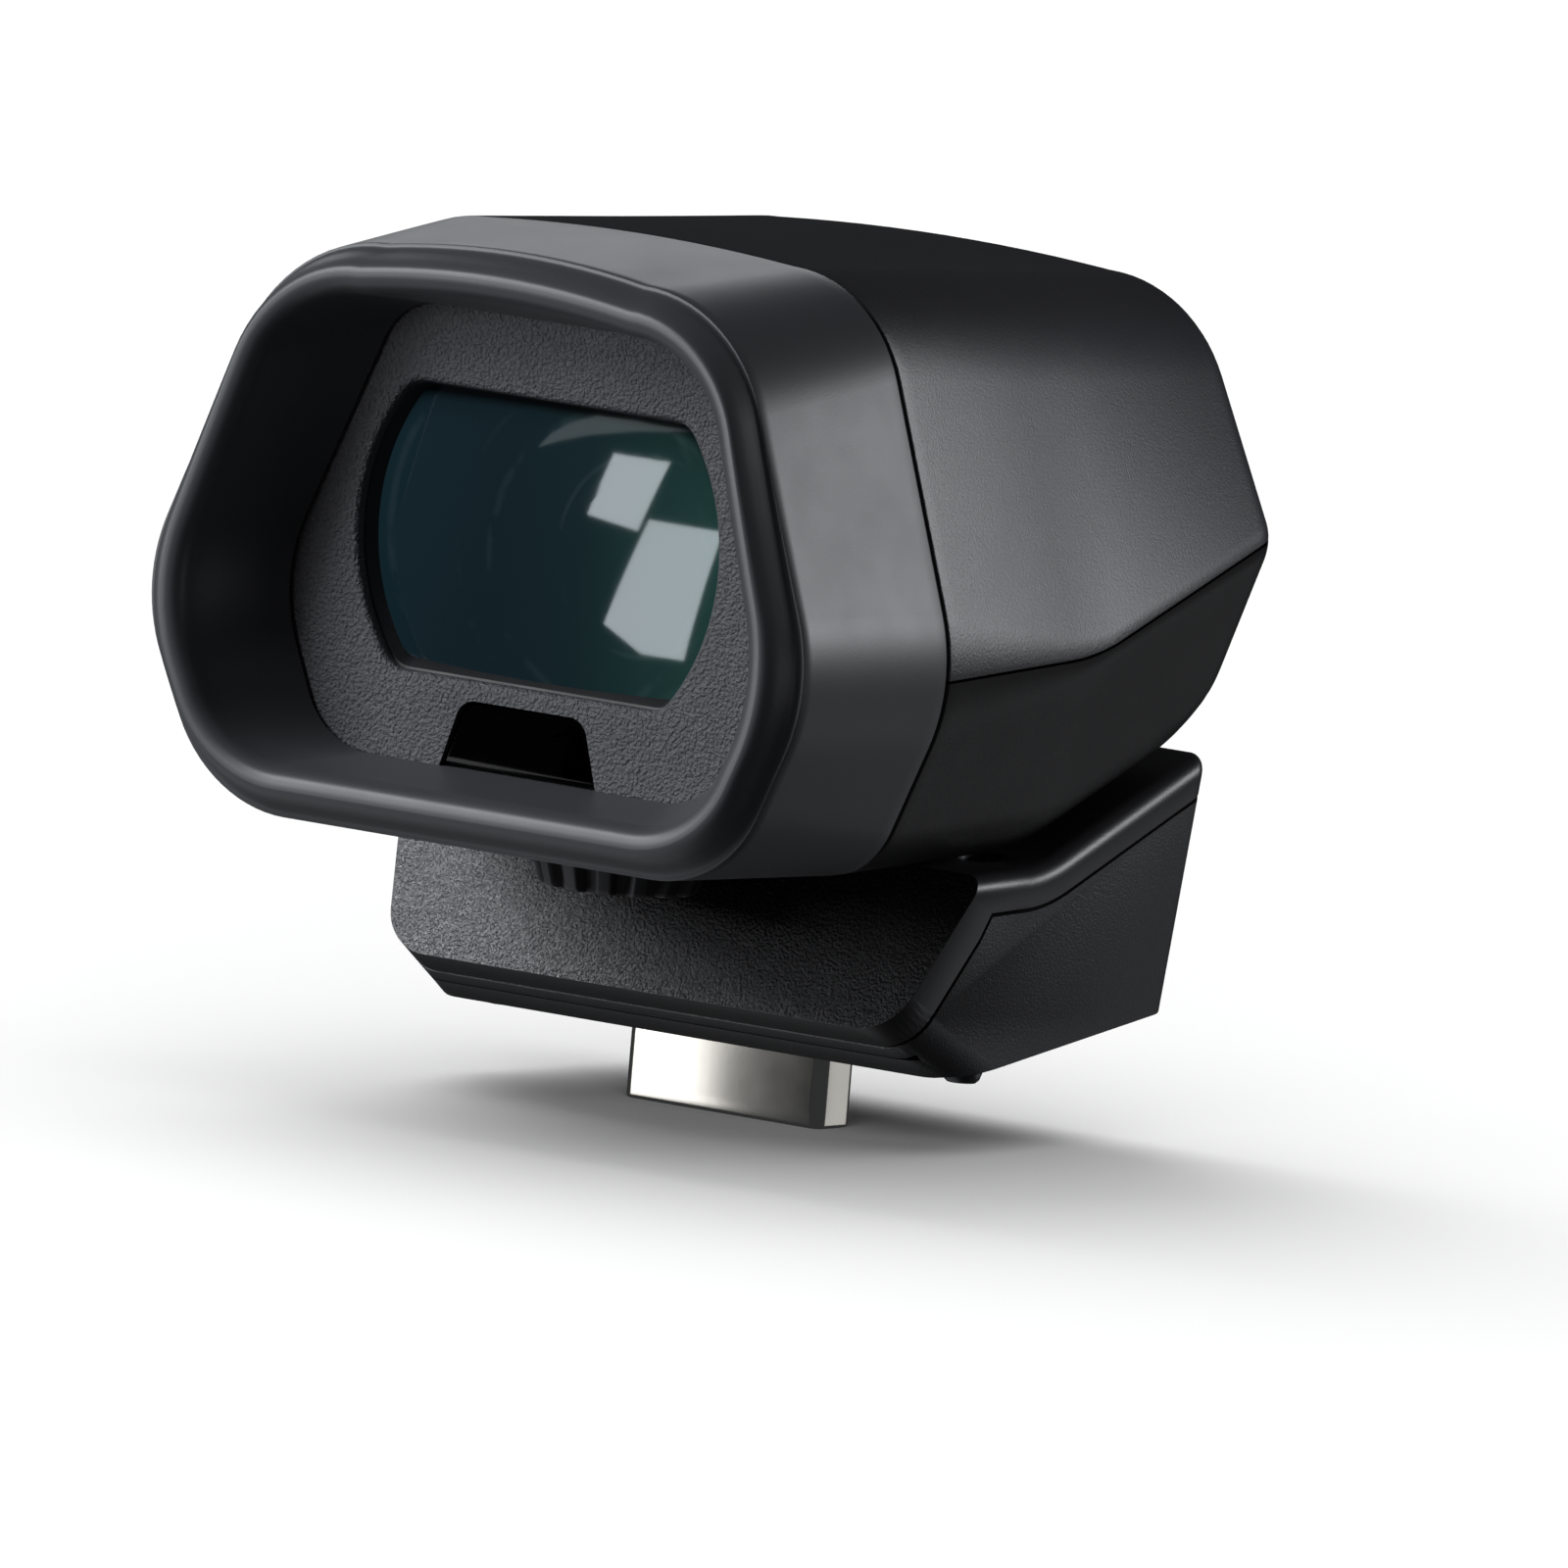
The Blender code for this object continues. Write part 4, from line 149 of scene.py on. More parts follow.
BEAD_PROUD = 2.4
LIP_BOW = 1.1
BEZEL = 7.3
HINGE = (48.4, -7.6)
HINGE_ROUND = 8.6
FLAT = math.radians(2.4)
RAMP = math.radians(21.6)
KINK, KINK_RISE, KINK_ROUND = 35.0, -5.4, 3.0
KNEE_ROUND = 3.0
REAR_TOP_ROUND, REAR_MIDDLE_ROUND = 11.5, 3.7
WALL, CUP_WALL, BEAD_WALL = 1.8, 1.8, 1.7
PARTING_HALF_GAP = 0.11
NECK_HALF = 8.9
KNOB_DEPTH, KNOB_RADIUS = 21.0, 6.75
CAPTIVE_X, CAPTIVE_DEPTH = 20.8, 36.8
BOSS_RADIUS, HOLE_RADIUS, SINK_RADIUS = 2.1, 1.1, 1.8

# How far cutting tools reach past what they cut, and how finely the lofts are divided
PAST, TOOL_HALF = 6.0, 45.0
STATION_GAP, STATION_COUNT, BEND_STEPS, HINGE_STEPS = 1.4, 40, 6, 16
CUP_STEPS, FUNNEL_STEPS, EDGE_STEPS, LENS_STEPS, TAPER_STEPS = 16, 14, 6, 26, 8
CORNER_STEPS, ROUND_SIDE_STEPS, FLAT_STEPS, PLUG_CORNER_STEPS = 10, 40, 12, 8
LUGS, LUG_POINTS = 14, 24

# Shading angle of softened pieces in degrees, and the distance in mm within which points are one
SOFT_SHADE, WELD_DISTANCE = 50.0, 0.001


def pair(a, b, share):
    return (blend(a[0], b[0], share), blend(a[1], b[1], share))


def six(values):
    top, middle, bottom = values
    return [middle, top, top, middle, bottom, bottom]


def cup_outline(depth, wall=0.0):
    share = (depth - LIP_EDGE) / (SEAM - LIP_EDGE)
    corners = six_corners(pair(LIP_T, SEAM_T, share), pair(LIP_M, SEAM_M, share), pair(LIP_B, SEAM_B, share))
    rounds = six([blend(a, b, share) - wall for a, b in zip(LIP_R, SEAM_R)])
    return rounded_ring(inset(corners, wall), rounds, blend(LIP_CROWN, SEAM_CROWN, share))


def bead_outline(wall=0.0):
    corners = six_corners(BEAD_T, BEAD_M, BEAD_B)
    return rounded_ring(inset(corners, wall), six([r - wall for r in BEAD_R]), LIP_CROWN)


def well_outline():
    return rounded_ring(six_corners(WELL_T, WELL_M, WELL_B), six(WELL_R), 0.0)


def bowed(ring, depth, share=1.0):
    """A ring that bows backwards towards its top and bottom."""
    points = []
    for x, rise in ring:
        height = (LIP_T[1] if rise > LIP_M[1] else LIP_B[1]) - LIP_M[1]
        reach = (rise - LIP_M[1]) / height
        points.append(place(x, depth + LIP_BOW * share * reach * reach, rise))
    return points


# Mesh helpers
def object_from(name, mesh_data, smooth_angle=32.0):
    bmesh.ops.recalc_face_normals(mesh_data, faces=mesh_data.faces)
    mesh = bpy.data.meshes.new(name)
    mesh_data.to_mesh(mesh)
    mesh_data.free()
    made = bpy.data.objects.new(name, mesh)
    bpy.context.scene.collection.objects.link(made)
    shade(made, smooth_angle)
    return made


def shade(item, angle=32.0):
    item.data.shade_smooth()
    item.data.set_sharp_from_angle(angle=math.radians(angle))


def quads(mesh_data, first, second):
    count = len(first)
    for i in range(count):
        after = (i + 1) % count
        mesh_data.faces.new((first[i], first[after], second[after], second[i]))


def loft(name, rings, closed=False, smooth_angle=32.0):
    """A skin over rings of equal count; closed joins the last to the first, else both ends are filled."""
    mesh_data = bmesh.new()
    rows = [[mesh_data.verts.new(point) for point in ring] for ring in rings]
    for first, second in zip(rows, rows[1:]):
        quads(mesh_data, first, second)
    if closed:
        quads(mesh_data, rows[-1], rows[0])
    else:
        mesh_data.faces.new(rows[0])
        mesh_data.faces.new(rows[-1])
    return object_from(name, mesh_data, smooth_angle)


def around(axis, radius, angle, along):
    first, second = radius * math.cos(angle), radius * math.sin(angle)
    if axis == "X":
        return Vector((along, first, second)) * MM
    if axis == "Y":
        return Vector((first, along, second)) * MM
    return Vector((first, second, along)) * MM


def turned(name, centre, profile, axis="Z", steps=48, smooth_angle=32.0):
    """A body of revolution; its profile of (radius, along) in mm starts and ends on the axis."""
    mesh_data = bmesh.new()
    rows = []
    for radius, along in profile:
        count = steps if radius else 1
        rows.append([mesh_data.verts.new(centre + around(axis, radius, 2 * math.pi * i / steps, along))
                     for i in range(count)])
    for first, second in zip(rows, rows[1:]):
        if len(first) == len(second):
            quads(mesh_data, first, second)
            continue
        for i in range(steps):
            after = (i + 1) % steps
            if len(first) == 1:
                mesh_data.faces.new((first[0], second[after], second[i]))
            else:
                mesh_data.faces.new((first[i], first[after], second[0]))
    return object_from(name, mesh_data, smooth_angle)


def box(name, low, high):
    mesh_data = bmesh.new()
    bmesh.ops.create_cube(mesh_data, size=1.0)
    for vertex in mesh_data.verts:
        vertex.co = Vector([vertex.co[k] * (high[k] - low[k]) + (high[k] + low[k]) / 2 for k in range(3)])
    return object_from(name, mesh_data)


def prism_x(name, outline, low_x, high_x):
    return loft(name, [[place(x, depth, rise) for depth, rise in outline] for x in (low_x, high_x)])


def prism_y(name, outline, depth, length):
    return loft(name, [at_depth(outline, depth), at_depth(outline, depth + length)])


def cylinder(name, centre, radius, length, axis="Z", steps=48):
    rings = [[centre + around(axis, radius, 2 * math.pi * i / steps, along) for i in range(steps)]
             for along in (0.0, length)]
    return loft(name, rings)


def apply_modifiers(item):
    graph = bpy.context.evaluated_depsgraph_get()
    mesh = bpy.data.meshes.new_from_object(item.evaluated_get(graph))
    item.modifiers.clear()
    item.data = mesh


def combine(target, tool, operation="DIFFERENCE"):
    change = target.modifiers.new("combine", "BOOLEAN")
    change.operation = operation
    change.solver = "EXACT"
    change.object = tool
    apply_modifiers(target)
    bpy.data.objects.remove(tool, do_unlink=True)


def cut(target, *tools):
    for tool in tools:
        combine(target, tool)
    shade(target)


def soften(item, width, segments, angle):
    """A small round on every edge sharper than the angle."""
    change = item.modifiers.new("soften", "BEVEL")
    change.width = width * MM
    change.segments = segments
    change.limit_method = "ANGLE"
    change.angle_limit = math.radians(angle)
    change.miter_outer = "MITER_ARC"
    apply_modifiers(item)
    shade(item, SOFT_SHADE)


def weld(item):
    """Joins points closer than a micrometre and drops folds of no thickness."""
    mesh_data = bmesh.new()
    mesh_data.from_mesh(item.data)
    bmesh.ops.remove_doubles(mesh_data, verts=mesh_data.verts[:], dist=WELD_DISTANCE * MM)
    bmesh.ops.dissolve_degenerate(mesh_data, edges=mesh_data.edges[:], dist=WELD_DISTANCE * MM)
    by_corners = {}
    for face in mesh_data.faces:
        by_corners.setdefault(frozenset(v.index for v in face.verts), []).append(face)
    folds = [face for faces in by_corners.values() if len(faces) > 1 for face in faces]
    bmesh.ops.delete(mesh_data, geom=folds, context="FACES")
    mesh_data.to_mesh(item.data)
    mesh_data.free()
    shade(item, SOFT_SHADE)


def catmull(values, steps):
    """A smooth run of points through the given ones."""
    made = []
    for i in range(len(values) - 1):
        p0 = values[max(i - 1, 0)]
        p1, p2 = values[i], values[i + 1]
        p3 = values[min(i + 2, len(values) - 1)]
        for k in range(steps):
            t = k / steps
            made.append(tuple(
                0.5 * ((2 * b) + (c - a) * t + (2 * a - 5 * b + 4 * c - d) * t * t
                       + (3 * b - a - 3 * c + d) * t ** 3)
                for a, b, c, d in zip(p0, p1, p2, p3)
            ))
    made.append(tuple(values[-1]))
    return made


# Materials
def new_material(name):
    made = bpy.data.materials.new(name)
    made.use_nodes = True
    return made, made.node_tree, made.node_tree.nodes["Principled BSDF"]


def wired(tree, kind, inputs, **settings):
    """A new node: settings are its own values, and each input is a value to set or a socket to link."""
    node = tree.nodes.new("ShaderNode" + kind)
    for name, value in settings.items():
        setattr(node, name, value)
    for key, value in inputs.items():
        if isinstance(value, bpy.types.NodeSocket):
            tree.links.new(value, node.inputs[key])
        else:
            node.inputs[key].default_value = value
    return node


def product(tree, first, second):
    return wired(tree, "Math", {0: first, 1: second}, operation="MULTIPLY").outputs[0]


def colour_mix(tree, share, first, second):
    return wired(tree, "Mix", {0: share, 6: first, 7: second}, data_type="RGBA").outputs[2]


def bump(tree, height, depth, under=None):
    """Bump of a depth in mm, over another bump if there is one."""
    inputs = {"Distance": depth * MM, "Strength": 1.0, "Height": height}
    if under:
        inputs["Normal"] = under
    return wired(tree, "Bump", inputs).outputs["Normal"]


def ramp(tree, source, low, high):
    """A grey ramp, black up to low and white from high."""
    node = wired(tree, "ValToRGB", {"Fac": source})
    for stop, position, level in zip(node.color_ramp.elements, (low, high), (0.0, 1.0)):
        stop.position, stop.color = position, (level, level, level, 1)
    return node.outputs["Color"]


def finish_material(name, colour, rough=0.5, metallic=0.0, variation=0.08, rough_variation=0.06,
                    grain=None, fine=None, specular=0.5, sheen=0.0,
                    wear=0.0, wear_colour=None, smudge_scale=90.0, brushed=None):
    """A plastic, rubber or metal: colour and gloss vary over it, its grain is bump, and its edges wear."""
    made, tree, shader = new_material(name)
    for key, value in (("Metallic", metallic), ("Specular IOR Level", specular), ("Sheen Weight", sheen)):
        shader.inputs[key].default_value = value
    space = wired(tree, "TexCoord", {}).outputs["Object"]

    def noise(scale, detail, rough_value=0.5, stretch=None):
        where = space
        if stretch:
            where = wired(tree, "Mapping", {"Scale": stretch, "Vector": space}).outputs["Vector"]
        return wired(tree, "TexNoise", {
            "Scale": scale, "Detail": detail, "Roughness": rough_value, "Vector": where,
        }).outputs["Fac"]

    low, high = [(*[c * (1 + way * variation) for c in colour], 1) for way in (-1, 1)]
    paint = colour_mix(tree, ramp(tree, noise(smudge_scale, 4.0), 0.3, 0.7), low, high)
    if wear:
        edge = ramp(tree, wired(tree, "NewGeometry", {}).outputs["Pointiness"], 0.52, 0.62)
        scratched = product(tree, edge, ramp(tree, noise(900.0, 5.0), 0.42, 0.6))
        worn = (*(wear_colour or [min(c * 2.2, 1) for c in colour]), 1)
        paint = colour_mix(tree, product(tree, scratched, wear), paint, worn)
    tree.links.new(paint, shader.inputs["Base Color"])
    gloss = wired(tree, "MapRange", {
        "Value": noise(smudge_scale * 2.3, 5.0), "From Min": 0.3, "From Max": 0.7,
        "To Min": max(rough - rough_variation, 0.01), "To Max": min(rough + rough_variation, 1.0),
    })
    tree.links.new(gloss.outputs["Result"], shader.inputs["Roughness"])
    normal = None
    if brushed:
        scale, depth = brushed
        normal = bump(tree, noise(scale, 3.0, 0.6, (1.0, 1.0, 0.02)), depth)
    for layer in (grain, fine):
        if layer:
            scale, depth, sharp = layer
            normal = bump(tree, ramp(tree, noise(scale, 2.0), 0.5 - sharp, 0.5 + sharp), depth, normal)
    if normal:
        tree.links.new(normal, shader.inputs["Normal"])
    return made


RUBBER = finish_material(
    "eyecup_rubber", (0.047, 0.048, 0.053), 0.42, variation=0.03, rough_variation=0.012,
    fine=(7000.0, 0.0025, 0.25), sheen=0.03)
GRAINED = finish_material(
    "grained_plastic", (0.062, 0.063, 0.069), 0.52, variation=0.05, rough_variation=0.03,
    grain=(3600.0, 0.13, 0.2), fine=(9000.0, 0.02, 0.3))
PANEL = finish_material(
    "panel_grain", (0.009, 0.009, 0.011), 0.42, variation=0.06, rough_variation=0.03,
    grain=(4200.0, 0.09, 0.2), fine=(9000.0, 0.015, 0.3), specular=0.55)
SHELL = finish_material(
    "shell_plastic", (0.013, 0.013, 0.015), 0.40, variation=0.06, rough_variation=0.012,
    grain=(5600.0, 0.012, 0.25), fine=(11000.0, 0.003, 0.3))
LOWER = finish_material(
    "shell_plastic_smooth", (0.012, 0.012, 0.014), 0.44, variation=0.06, rough_variation=0.012,
    grain=(5600.0, 0.006, 0.25), specular=0.45)
BASE = finish_material(
    "base_plastic", (0.015, 0.015, 0.017), 0.40, variation=0.05, rough_variation=0.015,
    grain=(6000.0, 0.005, 0.25), wear=0.25)
HOUSING = finish_material(
    "base_plastic_grained", (0.017, 0.017, 0.019), 0.46, variation=0.05, rough_variation=0.015,
    grain=(5200.0, 0.014, 0.22), fine=(9000.0, 0.004, 0.3))
KNOB = finish_material("knob_plastic", (0.04, 0.04, 0.043), fine=(5200.0, 0.008, 0.25), wear=0.25)
BARREL = finish_material(
    "barrel_plastic", (0.02, 0.02, 0.022), 0.4, rough_variation=0.02, fine=(5200.0, 0.006, 0.25))
INNER = finish_material(
    "inner_plastic", (0.012, 0.013, 0.014), 0.55, variation=0.1, fine=(4000.0, 0.01, 0.25))
DARK = finish_material(
    "dark_window", (0.0008, 0.0008, 0.001), 0.05, rough_variation=0.015, variation=0.1,
    fine=(300.0, 0.0003, 0.3), specular=0.22)
NICKEL = finish_material(
    "plug_nickel", (0.80, 0.785, 0.755), 0.16, metallic=1.0, rough_variation=0.02, variation=0.02,
    brushed=(2600.0, 0.0003), wear=0.2, wear_colour=(0.9, 0.87, 0.83))
STEEL = finish_material(
    "screw_steel", (0.42, 0.42, 0.43), 0.34, metallic=1.0, rough_variation=0.08,
    brushed=(2200.0, 0.002), wear=0.3)
DARK_STEEL = finish_material(
    "captive_steel", (0.045, 0.045, 0.05), 0.3, metallic=0.6, variation=0.1,
    fine=(2600.0, 0.003, 0.3), wear=0.4)
HINGE_STEEL = finish_material(
    "hinge_steel", (0.36, 0.36, 0.37), 0.4, metallic=1.0, rough_variation=0.08,
    brushed=(1800.0, 0.003), wear=0.3)
CHIP = finish_material("chip_black", (0.012, 0.012, 0.012), 0.6, variation=0.2, fine=(5200.0, 0.01, 0.3))
BOARD = finish_material(
    "board_green", (0.014, 0.085, 0.04), 0.4, variation=0.25, fine=(1600.0, 0.01, 0.2), smudge_scale=500.0)
AMBER = finish_material(
    "ribbon_amber", (0.32, 0.14, 0.025), 0.35, variation=0.15, fine=(1400.0, 0.004, 0.3))

# The lens's coating colour from left to right, greener to the right with a painted reflection of the
# surroundings, and its rings, painted reflections of rings inside the lens: x, z, radius and width in metres,
# and strength
COATING_AND_PAINTED_REFLECTION = (
    (0.0, (0.0110, 0.0300, 0.0400)), (0.35, (0.0092, 0.0235, 0.0310)), (0.6, (0.0100, 0.0270, 0.0310)),
    (0.85, (0.0160, 0.0500, 0.0470)), (1.0, (0.0200, 0.0640, 0.0560)),
)
PAINTED_RING_REFLECTIONS = (
    (-0.0005, 0.0367, 0.0141, 0.00025, 0.035), (0.0042, 0.0362, 0.0124, 0.00018, 0.03),
    (0.0058, 0.0358, 0.0108, 0.00025, 0.04), (0.0085, 0.0365, 0.0074, 0.00014, 0.035),
)
RING_REFLECTION_COLOUR = (0.30, 0.42, 0.44, 1)


def glass_material():
    """Coated eye lens, opaque: a teal coating with a painted reflection that turns it greener to one side,
    and faint painted reflections of rings inside.
    """
    made, tree, shader = new_material("lens_glass")
    space = wired(tree, "TexCoord", {}).outputs["Object"]
    split = wired(tree, "SeparateXYZ", {0: space})
    # Painted reflection: the coating's colour turns greener from left to right across the lens.
    across = wired(tree, "MapRange", {"From Min": -0.016, "From Max": 0.016, "Value": split.outputs["X"]})
    reflected_tint = wired(tree, "ValToRGB", {"Fac": across.outputs["Result"]})
    stops = reflected_tint.color_ramp.elements
    for position, colour in COATING_AND_PAINTED_REFLECTION[1:-1]:
        stops.new(position)
    for stop, (position, colour) in zip(stops, COATING_AND_PAINTED_REFLECTION):
        stop.color = (*colour, 1)
    warp = wired(tree, "TexNoise", {"Scale": 260.0, "Detail": 4.0, "Vector": space}).outputs["Fac"]
    patches = ramp(tree, warp, 0.45, 0.62)
    flat = wired(tree, "CombineXYZ", {0: split.outputs["X"], 2: split.outputs["Z"]})
    paint = reflected_tint.outputs["Color"]
    # Painted reflections: faint light rings of the lens's inside, drawn into its colour in patches.
    for x, z, radius, width, strength in PAINTED_RING_REFLECTIONS:
        away = wired(tree, "VectorMath", {0: flat.outputs[0], 1: (x, 0.0, z)}, operation="DISTANCE")
        offset = wired(tree, "Math", {0: away.outputs["Value"], 1: radius}, operation="SUBTRACT")
        near = wired(tree, "Math", {0: offset.outputs[0]}, operation="ABSOLUTE")
        line = wired(tree, "MapRange", {
            "From Min": width * 2.2, "From Max": 0.0, "To Max": strength, "Value": near.outputs[0],
        }, interpolation_type="SMOOTHSTEP")
        paint = colour_mix(tree, product(tree, line.outputs["Result"], patches), paint, RING_REFLECTION_COLOUR)
    tree.links.new(paint, shader.inputs["Base Color"])
    gloss = wired(tree, "MapRange", {"To Min": 0.02, "To Max": 0.04, "Value": warp})
    tree.links.new(gloss.outputs["Result"], shader.inputs["Roughness"])
    shader.inputs["IOR"].default_value = 1.5
    shader.inputs["Specular IOR Level"].default_value = 0.5
    return made


GLASS = glass_material()


def dress(item, *materials):
    item.data.materials.clear()
    for one in materials:
        item.data.materials.append(one)
    return item


# Eyecup: sections of its lip as (share of the way inwards, share of the bead's height)
LIP_SECTION = [
    (0.0, 0.0), (0.02, 0.012), (0.06, 0.015), (0.12, 0.03), (0.2, 0.09), (0.3, 0.24), (0.42, 0.45),
    (0.55, 0.66), (0.68, 0.82), (0.8, 0.93), (0.9, 0.98), (1.0, 1.0),
]
BEAD_SECTION = [(0.0, 1.0), (0.3, 0.975), (0.6, 0.87), (0.85, 0.65), (1.0, 0.38)]


def eyecup():
    edge, crest = cup_outline(LIP_EDGE), bead_outline()
    inner, well = bead_outline(BEAD_WALL), well_outline()
    floor = BEZEL - 0.3
    rings = []
    for back, tuck in ((-0.12, 0.24), (-0.08, 0.1), (0.02, 0.02), (0.14, 0.0)):
        depth = SEAM - back
        rings.append(at_depth(cup_outline(depth, tuck), depth))
    for i in range(1, CUP_STEPS):
        share = 1 - i / CUP_STEPS
        depth = blend(LIP_EDGE, SEAM - 0.14, share)
        rings.append(bowed(cup_outline(depth), depth, (1 - share) ** 1.5))
    for share, lift in catmull(LIP_SECTION, 4):
        rings.append(bowed(mixed(edge, crest, share), LIP_EDGE - BEAD_PROUD * lift))
    for share, lift in catmull(BEAD_SECTION, 4)[1:]:
        rings.append(bowed(mixed(crest, inner, share), LIP_EDGE - BEAD_PROUD * lift))
    mouth = LIP_EDGE - BEAD_PROUD * BEAD_SECTION[-1][1]
    for i in range(1, FUNNEL_STEPS + 1):
        share = i / FUNNEL_STEPS
        rings.append(bowed(mixed(inner, well, share ** 1.15), blend(mouth, floor, share), 1 - share))
    for depth in (floor + 0.01, (floor + SEAM) / 2, SEAM):
        rings.append(at_depth(cup_outline(depth, CUP_WALL), depth))
    return dress(loft("eyecup_moulding", rings, closed=True, smooth_angle=60.0), RUBBER)


# Bezel, window, lens, sensor
WINDOW_R, WINDOW_HIGH, WINDOW_LOW = 16.15, 10.4, -10.75
WINDOW_EDGE = 0.45
SENSOR_CORNER = 1.5
LENS_MARGIN, LENS_DOME = 0.75, 1.5


def window_outline(margin=0.0, corner=2.2, lift=0.0):
    """A circle cut flat at top and bottom, with the four corners rounded; counter-clockwise."""
    radius = WINDOW_R + margin
    corner = max(corner + margin, 0.3)

    def quarter(side_x, side_z, height, start_first):
        centre_x = math.sqrt((radius - corner) ** 2 - (height - corner) ** 2)
        centre = Vector((side_x * centre_x, side_z * (height - corner)))
        turn = math.atan2(height - corner, centre_x)
        angles = [turn + (math.pi / 2 - turn) * i / CORNER_STEPS for i in range(CORNER_STEPS + 1)]
        run = [centre + Vector((side_x * math.cos(a), side_z * math.sin(a))) * corner for a in angles]
        return (run if start_first else run[::-1]), turn

    def side(start, turn):
        angles = [start + turn * i / ROUND_SIDE_STEPS for i in range(1, ROUND_SIDE_STEPS)]
        return [Vector((radius * math.cos(a), radius * math.sin(a))) for a in angles]

    def flat(start, end):
        return [start.lerp(end, i / FLAT_STEPS) for i in range(1, FLAT_STEPS)]

    high, low = WINDOW_HIGH + margin, -WINDOW_LOW + margin - lift
    top_right, turn_high = quarter(1, 1, high, True)
    low_right, turn_low = quarter(1, -1, low, False)
    top_left = quarter(-1, 1, high, False)[0]
    low_left = quarter(-1, -1, low, True)[0]
    points = side(-turn_low, turn_high + turn_low) + top_right + flat(top_right[-1], top_left[0]) + top_left
    points += side(math.pi - turn_high, turn_high + turn_low) + low_left
    return points + flat(low_left[-1], low_right[0]) + low_right


def polar(outline, angles):
    """The outline seen from its middle at the given angles."""
    found = []
    count = len(outline)
    for angle in angles:
        direction = Vector((math.cos(angle), math.sin(angle)))
        side = Vector((-direction.y, direction.x))
        best = None
        for i in range(count):
            a, b = Vector(outline[i]), Vector(outline[(i + 1) % count])
            da, db = a.dot(side), b.dot(side)
            if (da <= 0 < db) or (db <= 0 < da):
                point = a.lerp(b, da / (da - db))
                if point.dot(direction) > 0:
                    best = point
        found.append(best)
    return found


def sensor_outline(margin):
    top, bottom, top_half, bottom_half = -12.35 + margin, -17.1 - margin, 5.35 + margin, 6.9 + margin
    corners = [Vector((bottom_half, bottom)), Vector((top_half, top)),
               Vector((-top_half, top)), Vector((-bottom_half, bottom))]
    points = [corners[0]]
    for i in (1, 2):
        points.extend(corner_arc(corners[i - 1], corners[i], corners[i + 1], SENSOR_CORNER + margin, 12))
    points.append(corners[3])
    return points


def bezel():
    """The grained plate round the window, with a rounded window edge and the sensor's opening."""
    window, behind = window_outline(), window_outline(0.12)
    outer = polar(cup_outline(BEZEL, 2.1), [math.atan2(p.y, p.x) for p in window])
    back = BEZEL + 2.2
    rings = [at_depth(outer, back), at_depth(outer, BEZEL)]
    for share in (0.75, 0.5, 0.3, 0.15):
        rings.append(at_depth(mixed(window_outline(0.55), outer, share), BEZEL))
    for i in range(EDGE_STEPS + 1):
        angle = math.pi / 2 * i / EDGE_STEPS
        ring = window_outline(WINDOW_EDGE * (1 - math.sin(angle)))
        rings.append(at_depth(ring, BEZEL + WINDOW_EDGE * (1 - math.cos(angle))))
    rings += [at_depth(window, BEZEL + 0.8), at_depth(behind, BEZEL + 0.86), at_depth(behind, back)]
    made = loft("bezel_plate", rings, closed=True, smooth_angle=50.0)
    cut(made, prism_y("sensor_hole", sensor_outline(0.16), BEZEL - 2.0, 8.0))
    shade(made, SOFT_SHADE)
    return dress(made, GRAINED)


def lens():
    """A domed lens with its flats, a polished front and an edge."""
    rim = BEZEL + 2.5
    outline = window_outline(LENS_MARGIN, corner=1.6)
    mesh_data = bmesh.new()

    def row(points):
        return [mesh_data.verts.new(place(*point)) for point in points]

    def domed(point):
        sag = LENS_DOME * (1 - min((point.length / (WINDOW_R + LENS_MARGIN)) ** 2, 1.0))
        return point.x, rim - 0.25 - sag * 0.72, point.y

    rows = [row([domed(p * (i / LENS_STEPS)) for p in outline]) for i in range(LENS_STEPS, 0, -1)]
    tip = row([domed(Vector((0.0, 0.0)))])[0]
    edge = row([(p.x, rim + 1.9, p.y) for p in outline])
    back = row([(p.x * 0.5, rim + 2.6, p.y * 0.5) for p in outline])
    for first, second in list(zip(rows, rows[1:])) + [(edge, rows[0]), (back, edge)]:
        quads(mesh_data, first, second)
    for i in range(len(outline)):
        mesh_data.faces.new((rows[-1][i], rows[-1][(i + 1) % len(outline)], tip))
    mesh_data.faces.new(back)
    return dress(object_from("eye_lens_glass", mesh_data, 40.0), GLASS)


def window_liner():
    """The dark wall of the eyepiece between the bezel's edge and the glass, with a ledge under the glass."""
    rings = []
    for margin, back, lift in ((0.05, 0.9, 0.0), (-0.1, 1.0, 0.05), (-0.42, 2.3, 0.5),
                               (-0.42, 2.45, 0.5), (0.05, 2.45, 0.0)):
        rings.append(at_depth(window_outline(margin, lift=lift), BEZEL + back))
    return dress(loft("window_liner", rings, closed=True), INNER)


def sensor_window():
    depth = BEZEL + 0.25
    rings = []
    for margin, back in ((-0.32, 0.0), (-0.14, 0.03), (-0.04, 0.12), (0.0, 0.3), (0.0, 1.7)):
        rings.append(at_depth(sensor_outline(margin), depth + back))
    made = loft("sensor_glass", rings, smooth_angle=35.0)
    return dress(made, DARK)


# Shells
def flat_rise(depth, wall=0.0):
    return SEAM_B[1] + (depth - SEAM) * math.tan(FLAT) + wall / math.cos(FLAT)


def ramp_rise(depth, wall=0.0):
    radius = HINGE_ROUND - wall
    return HINGE[1] - radius / math.cos(RAMP) + (depth - HINGE[0]) * math.tan(RAMP)


def ramp_start(wall=0.0):
    return SEAM + (flat_rise(SEAM, wall) - ramp_rise(SEAM, wall)) / (math.tan(RAMP) - math.tan(FLAT))


def round_start(wall=0.0):
    return HINGE[0] + (HINGE_ROUND - wall) * math.sin(RAMP)


def eased(start, before, after, reach, past):
    """A parabola from one slope to another, over a reach to both sides of their corner."""
    share = (past + reach) / (2 * reach)
    return start + 2 * reach * (before * share + (after - before) * share * share / 2)


